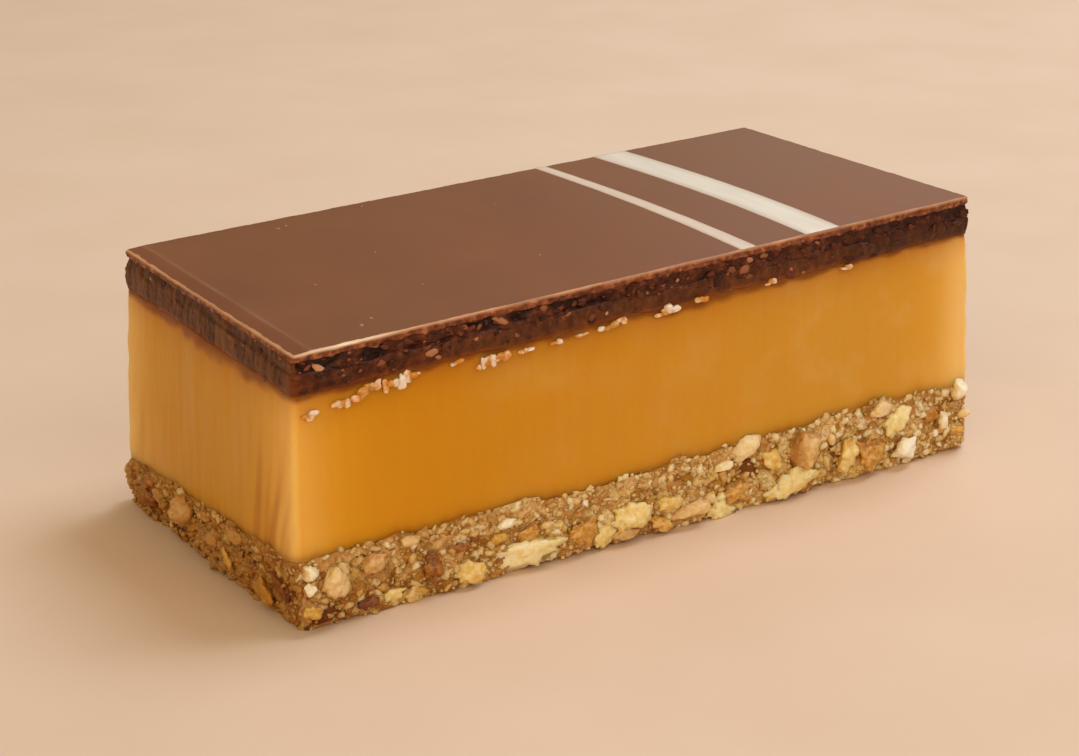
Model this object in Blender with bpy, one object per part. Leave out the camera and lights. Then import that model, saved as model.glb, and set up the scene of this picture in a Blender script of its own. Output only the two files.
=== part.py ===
"""Chocolate caramel slice: a finger of nut and biscuit base, soft caramel and dark ganache under a thin
chocolate sheet that has two white stripes set into it.

Metres, +Z up. The slice rests on z = 0 and its long cut sides face -Y and +Y. Its origin is the middle of
its footprint. Every layer is a loft round the slice: rings of points on a rounded rectangle, pushed in and
out by the layer's own bulge, knife ripples and crags, then skewed a little as the knife cut it.
"""

import math
import random

import bmesh
import bpy
from mathutils import Vector, noise

# The slice as cut. Length and width are those of the flat chocolate top.
TOP_LENGTH = 0.0880
TOP_WIDTH = 0.0394
HEIGHT = 0.0303
BASE_THICKNESS_FRONT = 0.00825
BASE_THICKNESS_BACK = 0.00580
CHOCOLATE_THICKNESS = 0.00440
SHEET_THICKNESS = 0.00090
LAYER_GAP = 0.00030

# Heights where one layer gives way to the next.
CARAMEL_TOP = HEIGHT - CHOCOLATE_THICKNESS
GANACHE_TOP = HEIGHT - SHEET_THICKNESS

# A hand-held knife cut it: shares by which length shrinks towards the back and width towards the right,
# and by which the slice thickens towards the right and the back. Each is counted from the middle.
SHORTER_BACK = 0.019
NARROWER_RIGHT = 0.017
THICKER_RIGHT = 0.037
THICKER_BACK = 0.021

# Inside this distance from the edge every layer is flat, so that the layers never cross.
SHOULDER = 0.0032
SHOULDER_RADIUS = 0.0006

# White stripes: middle of the stripe at the cut sides, widths at the front and back, and the bow to +X.
STRIPES = {
    "white_stripe_narrow": {"centre": 0.01160, "front": 0.00220, "back": 0.00160, "bow": 0.00080},
    "white_stripe_wide": {"centre": 0.02205, "front": 0.00500, "back": 0.00490, "bow": 0.00095},
}
STRIPE_THICKNESS = 0.00025
STRIPE_STEPS = 12
GROOVE_DEPTH = STRIPE_THICKNESS + LAYER_GAP

# The sheet's left end was pressed down by the knife along a crease.
CREASE_INSET = 0.0021
CREASE_DROP = 0.00012

# Swells along the front: distance from the middle, height and reach of each. The base's upper edge sags
# and rises, and two hollows open under its lower edge.
SEAM_SWELLS = [(-0.0110, -0.00065, 0.0050), (0.0285, 0.00045, 0.0060)]
HOLLOWS_BELOW = [(-0.0165, 0.00110, 0.0026), (-0.0088, 0.00055, 0.0022)]

COLOURS = {
    "nut_biscuit_base": (0.50, 0.31, 0.13),
    "caramel": (0.62, 0.30, 0.045),
    "ganache": (0.085, 0.035, 0.018),
    "chocolate_sheet": (0.20, 0.095, 0.055),
    "white_chocolate": (0.78, 0.72, 0.60),
}

# Pieces of nut and flake that stand out of the base where the slice is seen best. Each is a side, the
# distance along it from the side's middle, the height of the piece's centre, and its length and height.
SHOWN_PIECES = [
    ("front", -0.0413, 0.0053, 0.0034, 0.0040),
    ("front", -0.0384, 0.0018, 0.0030, 0.0024),
    ("front", -0.0330, 0.0058, 0.0030, 0.0024),
    ("front", -0.0276, 0.0021, 0.0036, 0.0028),
    ("front", -0.0184, 0.0026, 0.0084, 0.0046),
    ("front", -0.0206, 0.0064, 0.0030, 0.0018),
    ("front", -0.0105, 0.0054, 0.0034, 0.0026),
    ("front", -0.0035, 0.0029, 0.0050, 0.0036),
    ("front", 0.0040, 0.0060, 0.0034, 0.0028),
    ("front", 0.0115, 0.0068, 0.0046, 0.0028),
    ("front", 0.0167, 0.0025, 0.0062, 0.0036),
    ("front", 0.0192, 0.0060, 0.0042, 0.0040),
    ("front", 0.0262, 0.0044, 0.0036, 0.0044),
    ("front", 0.0340, 0.0024, 0.0036, 0.0030),
    ("front", 0.0398, 0.0048, 0.0034, 0.0034),
    ("left", 0.0160, 0.0028, 0.0040, 0.0032),
    ("left", 0.0088, 0.0022, 0.0036, 0.0028),
    ("left", 0.0030, 0.0044, 0.0034, 0.0026),
    ("left", -0.0060, 0.0030, 0.0042, 0.0034),
    ("left", -0.0145, 0.0024, 0.0034, 0.0032),
]
PIECE_POINTS = 16
PIECE_DEPTH = 0.0030
PIECE_STANDS_OUT = 0.0006
FILLER_SPACING = 0.0056
SIDES = {"front": (0, -1), "right": (1, 0), "back": (0, 1), "left": (-1, 0)}
WAIST_OUT_X = 0.00120
WAIST_OUT_Y = 0.00125

SEED = 7


def clear_scene():
    for obj in list(bpy.data.objects):
        bpy.data.objects.remove(obj)


def new_collection(name):
    collection = bpy.data.collections.new(name)
    bpy.context.scene.collection.children.link(collection)
    return collection


def food_material(name, roughness):
    material = bpy.data.materials.new(name)
    material.use_nodes = True
    shader = material.node_tree.nodes["Principled BSDF"]
    shader.inputs["Base Color"].default_value = (*COLOURS[name], 1.0)
    shader.inputs["Roughness"].default_value = roughness
    return material


def cut_by_hand(point):
    """Where a point of the squared-up slice lies in the slice as the knife left it."""
    x, y, z = point
    along = x / (TOP_LENGTH / 2)
    across = y / (TOP_WIDTH / 2)
    thicker = 1 + THICKER_RIGHT * along + THICKER_BACK * across
    return Vector((x * (1 - SHORTER_BACK * across), y * (1 - NARROWER_RIGHT * along), z * thicker))


def rectangle_ring(grow_x, grow_y, radius, long_steps, short_steps, arc_steps):
    """Points and outward normals round the top's rectangle grown in X and Y, anticlockwise from above."""
    half_length = TOP_LENGTH / 2 + grow_x
    half_width = TOP_WIDTH / 2 + grow_y
    ring = []
    quarter = math.pi / 2
    for side in range(4):
        along = Vector((math.cos(side * quarter), math.sin(side * quarter)))
        out = Vector((along.y, -along.x))
        run, away = (half_length, half_width) if side % 2 == 0 else (half_width, half_length)
        steps = long_steps if side % 2 == 0 else short_steps
        straight = run - radius
        for i in range(steps):
            point = out * away + along * (straight * (2 * i / steps - 1))
            ring.append((point, out.copy()))
        centre = out * (away - radius) + along * straight
        for i in range(arc_steps):
            turn = quarter * i / arc_steps
            normal = out * math.cos(turn) + along * math.sin(turn)
            ring.append((centre + normal * radius, normal))
    return ring


def on_top_edge(point):
    """The nearest place on the top's outline, so that two layers agree about the seam between them."""
    over = max(abs(point.x) / (TOP_LENGTH / 2), abs(point.y) / (TOP_WIDTH / 2))
    return point / over


def waves(point, height, grain, seed):
    """Smooth noise from -1 to 1 at a place on the side, with swells about one grain apart."""
    return noise.noise(Vector((point.x / grain, point.y / grain, height / grain + seed)))


def front_swells(edge, swells):
    """The sum of the given swells at this place on the outline: none of them reaches the other sides."""
    if edge.y > -0.499 * TOP_WIDTH:
        return 0.0
    return sum(rise * math.exp(-(((edge.x - at) / reach) ** 2)) for at, rise, reach in swells)


def base_top(y):
    """The level of the base's top face: the base was pressed thinner towards the back."""
    share = 0.5 + y / TOP_WIDTH
    return BASE_THICKNESS_FRONT + (BASE_THICKNESS_BACK - BASE_THICKNESS_FRONT) * share


def base_seam(point):
    """The height of the base's ragged upper edge at this place on the side."""
    edge = on_top_edge(point)
    rough = 0.00040 * waves(edge, 0, 0.0090, 3.3) + 0.00040 * waves(edge, 0, 0.0034, 8.1)
    return base_top(edge.y) + rough + front_swells(edge, SEAM_SWELLS)


def underside(point):
    """How far the base's lower edge clears the ground: it rests on its middle and on a few crumbs."""
    edge = on_top_edge(point)
    rough = 0.00020 * waves(edge, 0, 0.0050, 2.2)
    return 0.00015 + rough + front_swells(edge, HOLLOWS_BELOW)


def chocolate_seam(point):
    """The height of the ganache's lower edge at this place on the side. The knife dragged it less."""
    edge = on_top_edge(point)
    rough = 0.00030 * waves(edge, 0, 0.0110, 12.7) + 0.00012 * waves(edge, 0, 0.0036, 21.4)
    return CARAMEL_TOP + rough


def flat_ring(height_at, counts):
    """The ring at the inner end of a layer's shoulder. The height is a plane's, as a function of y."""
    ring = rectangle_ring(-SHOULDER, -SHOULDER, SHOULDER_RADIUS, *counts)
    return [(p.x, p.y, height_at(p.y)) for p, _ in ring]


def mesh_object(name, shape, material, collection):
    bmesh.ops.recalc_face_normals(shape, faces=shape.faces)
    bmesh.ops.triangulate(shape, faces=shape.faces)
    mesh = bpy.data.meshes.new(name)
    shape.to_mesh(mesh)
    shape.free()
    if material:
        mesh.materials.append(material)
    mesh.shade_smooth()
    mesh.set_sharp_from_angle(angle=math.radians(40))
    obj = bpy.data.objects.new(name, mesh)
    collection.objects.link(obj)
    return obj


def loft(name, rings, material, collection):
    """One closed solid through rings of points, from the lowest to the highest, with a flat cap at each end."""
    shape = bmesh.new()
    rows = [[shape.verts.new(cut_by_hand(p)) for p in ring] for ring in rings]
    shape.faces.new(rows[0])
    shape.faces.new(rows[-1])
    for low, high in zip(rows, rows[1:]):
        for i in range(len(low)):
            shape.faces.new((low[i - 1], low[i], high[i], high[i - 1]))
    return mesh_object(name, shape, material, collection)


def nut_biscuit_base(material, collection):
    """Crumbly base: thicker at its waist, rounded under its edge, with crags all round."""
    counts = (58, 26, 3)
    corner = 0.0015
    # Each level: share of the height, how far it stands out in X and in Y, and the crags' share there.
    levels = [
        (0.00, 0.00070, 0.00090, 0.6),
        (0.13, 0.00110, 0.00125, 1.0),
        (0.34, WAIST_OUT_X, WAIST_OUT_Y, 1.0),
        (0.56, WAIST_OUT_X, 0.00115, 1.0),
        (0.78, 0.00110, 0.00090, 0.9),
        (1.00, 0.00085, 0.00055, 0.4),
    ]
    rings = [flat_ring(lambda y: 0.0, counts)]
    for share, out_x, out_y, rough in levels:
        ring = []
        for point, normal in rectangle_ring(out_x, out_y, corner, *counts):
            height = underside(point) + share * (base_seam(point) - underside(point))
            crag = 0.00060 * waves(point, height, 0.0034, 0.0)
            crag += 0.00045 * waves(point, height, 0.0018, 5.0)
            place = point + normal * crag * rough
            ring.append((place.x, place.y, height))
        rings.append(ring)
    rings.append(flat_ring(base_top, counts))
    return loft("nut_biscuit_base", rings, material, collection)


def caramel_layer(material, collection):
    """Soft caramel: cut square, slumped wider towards its foot, rippled by the knife's drag."""
    counts = (36, 18, 4)
    corner = 0.0011
    levels = [
        (0.00, 0.00085, 0.00060),
        (0.10, 0.00090, 0.00070),
        (0.30, 0.00080, 0.00056),
        (0.55, 0.00064, 0.00036),
        (0.80, 0.00046, 0.00016),
        (0.95, 0.00032, 0.00004),
        (1.00, 0.00012, -0.00014),
    ]
    rings = [flat_ring(lambda y: base_top(y) + LAYER_GAP, counts)]
    for share, out_x, out_y in levels:
        ring = []
        for point, normal in rectangle_ring(out_x, out_y, corner, *counts):
            foot = base_seam(point) + LAYER_GAP
            head = chocolate_seam(point) - LAYER_GAP
            height = foot + share * (head - foot)
            at_an_end = abs(normal.x) > 0.5
            ripple = (0.00022 if at_an_end else 0.00010) * waves(point, height * 0.25, 0.0030, 31.0)
            ripple += 0.00018 * waves(point, height, 0.0080, 40.0)
            place = point + normal * ripple
            ring.append((place.x, place.y, height))
        rings.append(ring)
    rings.append(flat_ring(lambda y: CARAMEL_TOP - LAYER_GAP, counts))
    return loft("caramel_layer", rings, material, collection)


def ganache_layer(material, collection):
    """Dark ganache: smooth where the knife cut its ends, torn and pitted along its sides."""
    counts = (76, 26, 2)
    corner = 0.0006
    levels = [
        (0.00, 0.00018, 0.00000),
        (0.15, 0.00026, 0.00012),
        (0.40, 0.00020, 0.00014),
        (0.65, 0.00012, 0.00008),
        (0.88, 0.00002, 0.00000),
        (1.00, -0.00012, -0.00012),
    ]
    rings = [flat_ring(lambda y: CARAMEL_TOP, counts)]
    for share, out_x, out_y in levels:
        ring = []
        for point, normal in rectangle_ring(out_x, out_y, corner, *counts):
            foot = chocolate_seam(point)
            head = GANACHE_TOP - LAYER_GAP
            height = foot + share * (head - foot)
            along_a_side = abs(normal.y) > 0.5
            tear = (0.00042 if along_a_side else 0.00012) * waves(point, height, 0.0021, 50.0)
            place = point + normal * tear
            ring.append((place.x, place.y, height))
        rings.append(ring)
    rings.append(flat_ring(lambda y: GANACHE_TOP - LAYER_GAP, counts))
    return loft("ganache_layer", rings, material, collection)


def drop_past_crease(x):
    """How far the sheet's left end has been pressed down at this place along the slice."""
    past = (-TOP_LENGTH / 2 + CREASE_INSET) - x
    return CREASE_DROP * min(max(past / CREASE_INSET, 0.0), 1.0)


def stripe_outline(centre, front, back, bow, margin):
    """Plan of a stripe that crosses the slice from side to side in a shallow bow, grown by the margin."""
    half_span = TOP_WIDTH / 2
    left_edge, right_edge = [], []
    for i in range(STRIPE_STEPS + 1):
        share = i / STRIPE_STEPS
        y = half_span * (2 * share - 1)
        middle = centre + bow * (1 - (y / half_span) ** 2)
        half = (front + (back - front) * share) / 2 + margin
        reach = y * (1 + 4 * margin / half_span)
        left_edge.append((middle - half, reach))
        right_edge.append((middle + half, reach))
    return right_edge + left_edge[::-1]


def stripe_slab(name, stripe, margin, low, high, material, collection):
    """The stripe's plan, extruded between two heights."""
    outline = stripe_outline(**stripe, margin=margin)
    rings = [[(x, y, height) for x, y in outline] for height in (low, high)]
    return loft(name, rings, material, collection)


def chocolate_sheet(material, collection, cutters):
    """Thin snapped sheet on top, its edge a little ragged, with a groove for each white stripe."""
    counts = (34, 16, 2)
    corner = 0.0004
    levels = [(0.00, -0.00006), (0.50, 0.00005), (0.90, 0.00000), (1.00, -0.00010)]
    rings = []
    for share, stands_out in levels:
        ring = []
        for point, normal in rectangle_ring(stands_out, stands_out, corner, *counts):
            place = point + normal * 0.00006 * waves(point, 0, 0.0030, 60.0)
            height = GANACHE_TOP + share * (SHEET_THICKNESS - drop_past_crease(place.x))
            ring.append((place.x, place.y, height))
        rings.append(ring)
    sheet = loft("chocolate_sheet", rings, material, collection)
    for name, stripe in STRIPES.items():
        low, high = HEIGHT - GROOVE_DEPTH, HEIGHT + GROOVE_DEPTH
        cutter = stripe_slab(name + "_groove", stripe, LAYER_GAP, low, high, None, cutters)
        cutter.hide_render = True
        cutter.display_type = "WIRE"
        groove = sheet.modifiers.new(name + "_groove", "BOOLEAN")
        groove.operation = "DIFFERENCE"
        groove.object = cutter
    return sheet


def white_stripes(material, collection):
    """White chocolate laid flush with the top, in the sheet's grooves."""
    for name, stripe in STRIPES.items():
        stripe_slab(name, stripe, 0.0, HEIGHT - STRIPE_THICKNESS, HEIGHT, material, collection)


def side_place(side, along, height):
    """The middle of a piece half sunk in a side's wall, the way the wall faces and the way it runs."""
    facing = Vector((*SIDES[side], 0.0))
    run = Vector((1, 0, 0)) if facing.y else Vector((0, 1, 0))
    wall = TOP_WIDTH / 2 + WAIST_OUT_Y if facing.y else TOP_LENGTH / 2 + WAIST_OUT_X
    away = wall + PIECE_STANDS_OUT - PIECE_DEPTH / 2
    return facing * away + run * along + Vector((0, 0, height)), facing, run


def filler_pieces(draw):
    """Pieces at an even spacing round the two sides that the shown pieces leave plain."""
    places = []
    for side in ("right", "back"):
        half = (TOP_WIDTH if side == "right" else TOP_LENGTH) / 2 - 0.003
        count = round(2 * half / FILLER_SPACING)
        for i in range(count):
            along = half * (2 * (i + 0.5) / count - 1) + draw.uniform(-0.001, 0.001)
            top = base_top(along if side == "right" else TOP_WIDTH / 2)
            height = top * draw.uniform(0.30, 0.66)
            length = draw.uniform(0.0028, 0.0048)
            places.append((side, along, height, length, top * draw.uniform(0.36, 0.54)))
    return places


def broken_piece(name, place, draw, collection):
    """A chopped nut or flake: the hull of points on a squashed ball, half sunk in the wall."""
    side, along, height, length, tall = place
    centre, facing, run = side_place(side, along, height)
    shape = bmesh.new()
    for i in range(PIECE_POINTS):
        rise = 1 - 2 * (i + 0.5) / PIECE_POINTS
        turn = i * math.pi * (3 - math.sqrt(5)) + draw.uniform(-0.3, 0.3)
        level = math.sqrt(1 - rise * rise)
        wobble = draw.uniform(0.82, 1.12)
        offset = run * (math.cos(turn) * level * length / 2 * wobble)
        offset += facing * (math.sin(turn) * level * PIECE_DEPTH / 2 * wobble)
        offset.z += rise * tall / 2 * wobble
        shape.verts.new(cut_by_hand(centre + offset))
    hull = bmesh.ops.convex_hull(shape, input=shape.verts)
    inside = [v for v in hull["geom_interior"] if isinstance(v, bmesh.types.BMVert)]
    bmesh.ops.delete(shape, geom=inside, context="VERTS")
    return mesh_object(name, shape, None, collection)


def fuse_pieces(base, pieces):
    """Joins the pieces to the base as one solid, then removes them."""
    union = base.modifiers.new("pieces", "BOOLEAN")
    union.operation = "UNION"
    union.operand_type = "COLLECTION"
    union.collection = pieces
    bpy.context.view_layer.update()
    graph = bpy.context.evaluated_depsgraph_get()
    joined = bpy.data.meshes.new_from_object(base.evaluated_get(graph))
    base.modifiers.remove(union)
    base.data = joined
    joined.name = base.name
    for obj in list(pieces.objects):
        bpy.data.objects.remove(obj)
    bpy.data.collections.remove(pieces)


def centre_on_footprint(parts, cutters):
    """Puts the middle of the whole footprint at the origin and the lowest point on the ground."""
    bpy.context.view_layer.update()
    graph = bpy.context.evaluated_depsgraph_get()
    points = []
    for obj in parts:
        shown = obj.evaluated_get(graph)
        points += [shown.matrix_world @ v.co for v in shown.to_mesh().vertices]
        shown.to_mesh_clear()
    low = Vector([min(p[axis] for p in points) for axis in range(3)])
    high = Vector([max(p[axis] for p in points) for axis in range(3)])
    shift = Vector((-(low.x + high.x) / 2, -(low.y + high.y) / 2, -low.z))
    for obj in [*parts, *cutters]:
        obj.location += shift


def main():
    clear_scene()
    slice_parts = new_collection("chocolate_caramel_slice")
    cutters = new_collection("cutters")
    pieces = new_collection("pieces")
    draw = random.Random(SEED)

    base = nut_biscuit_base(food_material("nut_biscuit_base", 0.80), slice_parts)
    for i, place in enumerate(SHOWN_PIECES + filler_pieces(draw)):
        broken_piece(f"piece_{i:02d}", place, draw, pieces)
    fuse_pieces(base, pieces)

    caramel_layer(food_material("caramel", 0.30), slice_parts)
    ganache_layer(food_material("ganache", 0.50), slice_parts)
    chocolate_sheet(food_material("chocolate_sheet", 0.35), slice_parts, cutters)
    white_stripes(food_material("white_chocolate", 0.40), slice_parts)
    centre_on_footprint(slice_parts.objects, cutters.objects)


main()
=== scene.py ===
"""Looks of the chocolate caramel slice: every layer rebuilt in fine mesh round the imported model's frame.

Metres, in the row frame: +X runs along the slice to its striped end, +Y across it to its far side, +Z up.
Each layer is worked out on the squared-up slice and then skewed a little, as the knife cut the real one.
A list of waves holds, for each of them, how far it rises, how far apart its swells are, and its seed.
"""

import math

import bmesh
import bpy
import numpy as np
from mathutils import Matrix, Vector, noise


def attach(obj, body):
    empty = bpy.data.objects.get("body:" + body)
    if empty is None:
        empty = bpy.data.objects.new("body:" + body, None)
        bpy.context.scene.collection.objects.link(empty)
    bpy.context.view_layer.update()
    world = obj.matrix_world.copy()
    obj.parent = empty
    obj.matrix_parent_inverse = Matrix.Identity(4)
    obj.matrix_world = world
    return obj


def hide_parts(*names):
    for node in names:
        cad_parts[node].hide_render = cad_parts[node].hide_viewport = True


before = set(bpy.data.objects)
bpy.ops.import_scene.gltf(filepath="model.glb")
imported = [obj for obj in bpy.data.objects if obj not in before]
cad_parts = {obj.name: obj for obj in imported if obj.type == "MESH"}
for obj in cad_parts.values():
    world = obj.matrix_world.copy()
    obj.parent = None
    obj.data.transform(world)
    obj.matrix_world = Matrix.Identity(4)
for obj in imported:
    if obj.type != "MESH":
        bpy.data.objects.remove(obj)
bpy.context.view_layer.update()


# Nut and biscuit base. Crushed biscuit, chopped nuts and cereal flakes were bound with butter and syrup,
# pressed into the tray and baked, so the cut shows dense chunks run together, with whole pieces standing out.
# A hand-held knife took the whole finger off the tray at once, so every layer shares its outline and skew.

TOP_LENGTH = 0.0880
TOP_WIDTH = 0.0394
HEIGHT = 0.0303
SHORTER_BACK = 0.019
NARROWER_RIGHT = 0.017
THICKER_RIGHT = 0.037
THICKER_BACK = 0.021
FOOTPRINT_SHIFT = (-0.00010, 0.00002, 0.0)
SHOULDER = 0.0032
SHOULDER_RADIUS = 0.0006
BASE_THICKNESS_FRONT = 0.00825
BASE_THICKNESS_BACK = 0.00580
SEAM_WAVES = [(0.00040, 0.0090, 3.3), (0.00040, 0.0034, 8.1), (0.00022, 0.0011, 13.9)]
SEAM_SWELLS = [(-0.0110, -0.00065, 0.0050), (0.0285, 0.00045, 0.0060)]
FOOT_CLEARANCE = 0.00015
FOOT_WAVES = [(0.00020, 0.0050, 2.2)]
HOLLOWS_BELOW = [(-0.0165, 0.00110, 0.0026), (-0.0088, 0.00055, 0.0022)]
CRUMB_ROOM = 0.00018
GROUND = 0.00004

# The wall by share of the height: how far it stands out of the top's outline in X and in Y, and how rough.
BASE_LEVELS = [
    (0.00, 0.00070, 0.00090, 0.6),
    (0.13, 0.00110, 0.00125, 1.0),
    (0.34, 0.00120, 0.00125, 1.0),
    (0.56, 0.00120, 0.00115, 1.0),
    (0.78, 0.00112, 0.00095, 0.9),
    (1.00, 0.00095, 0.00068, 0.6),
]
BASE_COUNTS = (520, 230, 8)
BASE_ROWS = 48
BASE_CORNER = 0.0015
CLUMP = 0.0042
CLUMP_RISE = 0.00075
CHUNK = 0.0026
CHUNK_RISE = 0.00060
CHUNK_GAP = 0.00030
CHUNK_EDGE = 0.22
CHUNK_BEND = 0.00055
CHUNK_FLATTER = 1.30
SMALL_CHUNK = 0.0012
SMALL_CHUNK_RISE = 0.00040
MEAN_KIND = 0.6
CRUMB = 0.00060
CRUMB_RISE = 0.00024
CRUMB_WAVES = [(0.00012, 0.0006, 9.0)]

# Syrup, flake, nut and skin: the chunks' numbers where each starts and stops, and its part of the ramp.
KIND_STEPS = [0.52, 0.74, 0.741, 0.87, 0.871, 0.955, 0.956, 1.0]
TONE_STEPS = [0.50, 0.62, 0.68, 0.80, 0.84, 0.90, 0.96, 1.0]
# Painted shade on the base's front near its left corner: how dark, and how far it reaches.
CORNER_SHADE = 0.75
CORNER_SHADE_REACH = 0.012


def cut_by_hand(points):
    """Points of the squared-up slice, moved to where they lie in the slice as the knife left it."""
    x, y, z = points[..., 0], points[..., 1], points[..., 2]
    along = x / (TOP_LENGTH / 2)
    across = y / (TOP_WIDTH / 2)
    thicker = 1 + THICKER_RIGHT * along + THICKER_BACK * across
    cut = np.stack([x * (1 - SHORTER_BACK * across), y * (1 - NARROWER_RIGHT * along), z * thicker], -1)
    return cut + np.array(FOOTPRINT_SHIFT)


def outline(grow_x, grow_y, radius, counts):
    """Points and outward normals round the top's rectangle grown in X and Y, anticlockwise from the front."""
    long_steps, short_steps, arc_steps = counts
    half_length = TOP_LENGTH / 2 + grow_x
    half_width = TOP_WIDTH / 2 + grow_y
    points, normals = [], []
    for side in range(4):
        turn = side * math.pi / 2
        along = np.array([math.cos(turn), math.sin(turn)])
        out = np.array([along[1], -along[0]])
        run, away = (half_length, half_width) if side % 2 == 0 else (half_width, half_length)
        steps = long_steps if side % 2 == 0 else short_steps
        reach = (run - radius) * (2 * np.arange(steps) / steps - 1)
        points.append(out * away + reach[:, None] * along)
        normals.append(np.tile(out, (steps, 1)))
        bend = np.arange(arc_steps)[:, None] * (math.pi / 2 / arc_steps)
        normal = np.cos(bend) * out + np.sin(bend) * along
        points.append(out * (away - radius) + along * (run - radius) + normal * radius)
        normals.append(normal)
    return np.concatenate(points), np.concatenate(normals)


def raised(ring, level):
    """A ring's places as points at this level, or at these levels."""
    return np.column_stack([ring, level + 0 * ring[:, 0]])


def waves(points, grain, seed):
    """Smooth noise from -1 to 1 at each point, with swells about one grain apart."""
    places = points / grain
    places[..., 2] += seed
    values = [noise.noise(p) for p in places.reshape(-1, 3).tolist()]
    return np.array(values).reshape(points.shape[:-1])


def swells(points, parts):
    """The sum of a list of waves at each point."""
    return sum(rise * waves(points, grain, seed) for rise, grain, seed in parts)


def grains(points, grain, seed):
    """From 0 in the middle of each grain to about 1 in the gaps between grains."""
    places = points / grain
    places[..., 2] += seed
    values = [noise.voronoi(p)[0][0] for p in places.reshape(-1, 3).tolist()]
    return np.array(values).reshape(points.shape[:-1])


def chunks(points, grain, seed):
    """Each point's chunk, as a number from 0 to 1, and a share that falls from 1 inside it to 0 at its edge.

    The number is the broken part of a large sine of the chunk's middle, so it looks drawn at random.
    """
    places = points / grain
    places[..., 2] += seed
    kinds, insides = [], []
    for place in places.reshape(-1, 3).tolist():
        distances, middles = noise.voronoi(place)
        kinds.append(math.sin(middles[0].dot(Vector((12.7, 31.1, 7.4)))) * 4375.85 % 1.0)
        insides.append(min(1.0, (distances[1] - distances[0]) / CHUNK_EDGE))
    return [np.array(values).reshape(points.shape[:-1]) for values in (kinds, insides)]


def ramp(values, start, stop):
    """From 0 at the start to 1 at the stop, which may be the smaller of the two."""
    return np.clip((values - start) / (stop - start), 0, 1)


def bell(distance, reach):
    """From 1 at no distance, falling away to both sides over this reach."""
    return np.exp(-((distance / reach) ** 2))


def on_top_edge(points):
    """The nearest places on the top's outline, at height 0, so that two layers agree about their seam."""
    over = np.maximum(abs(points[:, 0]) / (TOP_LENGTH / 2), abs(points[:, 1]) / (TOP_WIDTH / 2))
    return raised(points / over[:, None], 0.0)


def front_swells(edge, parts):
    """The sum of the given swells along the front: none of them reaches the other sides."""
    total = sum(rise * bell(edge[:, 0] - at, reach) for at, rise, reach in parts)
    return np.where(edge[:, 1] <= -0.499 * TOP_WIDTH, total, 0.0)


def blended(levels, share, column):
    """A level table's column at this share of the height, rounded where one level meets the next."""
    shares = [level[0] for level in levels]
    values = [level[column] for level in levels]
    steps = (-0.05, -0.025, 0, 0.025, 0.05)
    return float(np.mean([np.interp(share + step, shares, values) for step in steps]))


def side_wall(levels, corner, counts, rows, foot, head):
    """A layer's side as a grid: points (rows, places, 3), outward normals, and shares of the height."""
    shares = np.linspace(0, 1, rows)
    grid, normals = [], []
    for share in shares:
        ring, normal = outline(blended(levels, share, 1), blended(levels, share, 2), corner, counts)
        low, high = foot(ring), head(ring)
        grid.append(raised(ring, low + share * (high - low)))
        normals.append(raised(normal, 0.0))
    return np.array(grid), np.array(normals), np.repeat(shares[:, None], len(grid[0]), 1)


def flat_ring(level, counts):
    """The ring at the inner end of a layer's flat shoulder, where the layer above or below hides it."""
    ring, _ = outline(-SHOULDER, -SHOULDER, SHOULDER_RADIUS, counts)
    return raised(ring, level(ring[:, 1]) if callable(level) else level)


def linear(hex_colour):
    """An sRGB colour such as "#c08a4a" as linear RGBA."""
    channels = [int(hex_colour[i : i + 2], 16) / 255 for i in (1, 3, 5)]
    return (*[c / 12.92 if c <= 0.04045 else ((c + 0.055) / 1.055) ** 2.4 for c in channels], 1.0)


def output_of(source):
    """A node's first working output, or the given output itself."""
    return next(out for out in source.outputs if out.enabled) if hasattr(source, "outputs") else source


def add(tree, kind, settings=None, links=None):
    """Adds a node. Settings name its options, its sockets or a ramp's stops; links feed its sockets.

    A mix of colours has its share at socket 0 and the colours at sockets 6 and 7.
    """
    node = tree.nodes.new("ShaderNode" + kind)
    for name, value in (settings or {}).items():
        if name == "stops":
            elements = node.color_ramp.elements
            while len(elements) < len(value):
                elements.new(1.0)
            for element, (place, shade) in zip(elements, value):
                element.position = place
                element.color = linear(shade)
        elif isinstance(name, int) or name in node.inputs:
            node.inputs[name].default_value = value
        else:
            setattr(node, name, value)
    for name, source in (links or {}).items():
        tree.links.new(output_of(source), node.inputs[name])
    return node


def new_material(name, marks=(), **sockets):
    """A Principled material with these sockets set, its tree, the place on the slice, and each mark."""
    material = bpy.data.materials.new(name)
    material.use_nodes = True
    tree = material.node_tree
    for socket, value in sockets.items():
        tree.nodes["Principled BSDF"].inputs[socket.replace("_", " ")].default_value = value
    place = add(tree, "TexCoord").outputs["Object"]
    return material, tree, place, *(
        add(tree, "Attribute", {"attribute_name": mark}).outputs["Fac"] for mark in marks
    )


def finished(material, **sources):
    """The material, with these sources linked to its shader's sockets."""
    tree = material.node_tree
    for socket, source in sources.items():
        tree.links.new(output_of(source), tree.nodes["Principled BSDF"].inputs[socket.replace("_", " ")])
    return material


def mesh_piece(name, points, faces, material, marks):
    """A piece that rides on the slice. Marks are numbers kept at each point for its material to read."""
    mesh = bpy.data.meshes.new(name)
    mesh.from_pydata(points.reshape(-1, 3).tolist(), [], faces)
    for mark, values in marks.items():
        mesh.attributes.new(mark, "FLOAT", "POINT").data.foreach_set("value", np.ravel(values))
    mesh.materials.append(material)
    mesh.shade_smooth()
    piece = bpy.data.objects.new(name, mesh)
    bpy.context.scene.collection.objects.link(piece)
    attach(piece, "root")
    return piece


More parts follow.
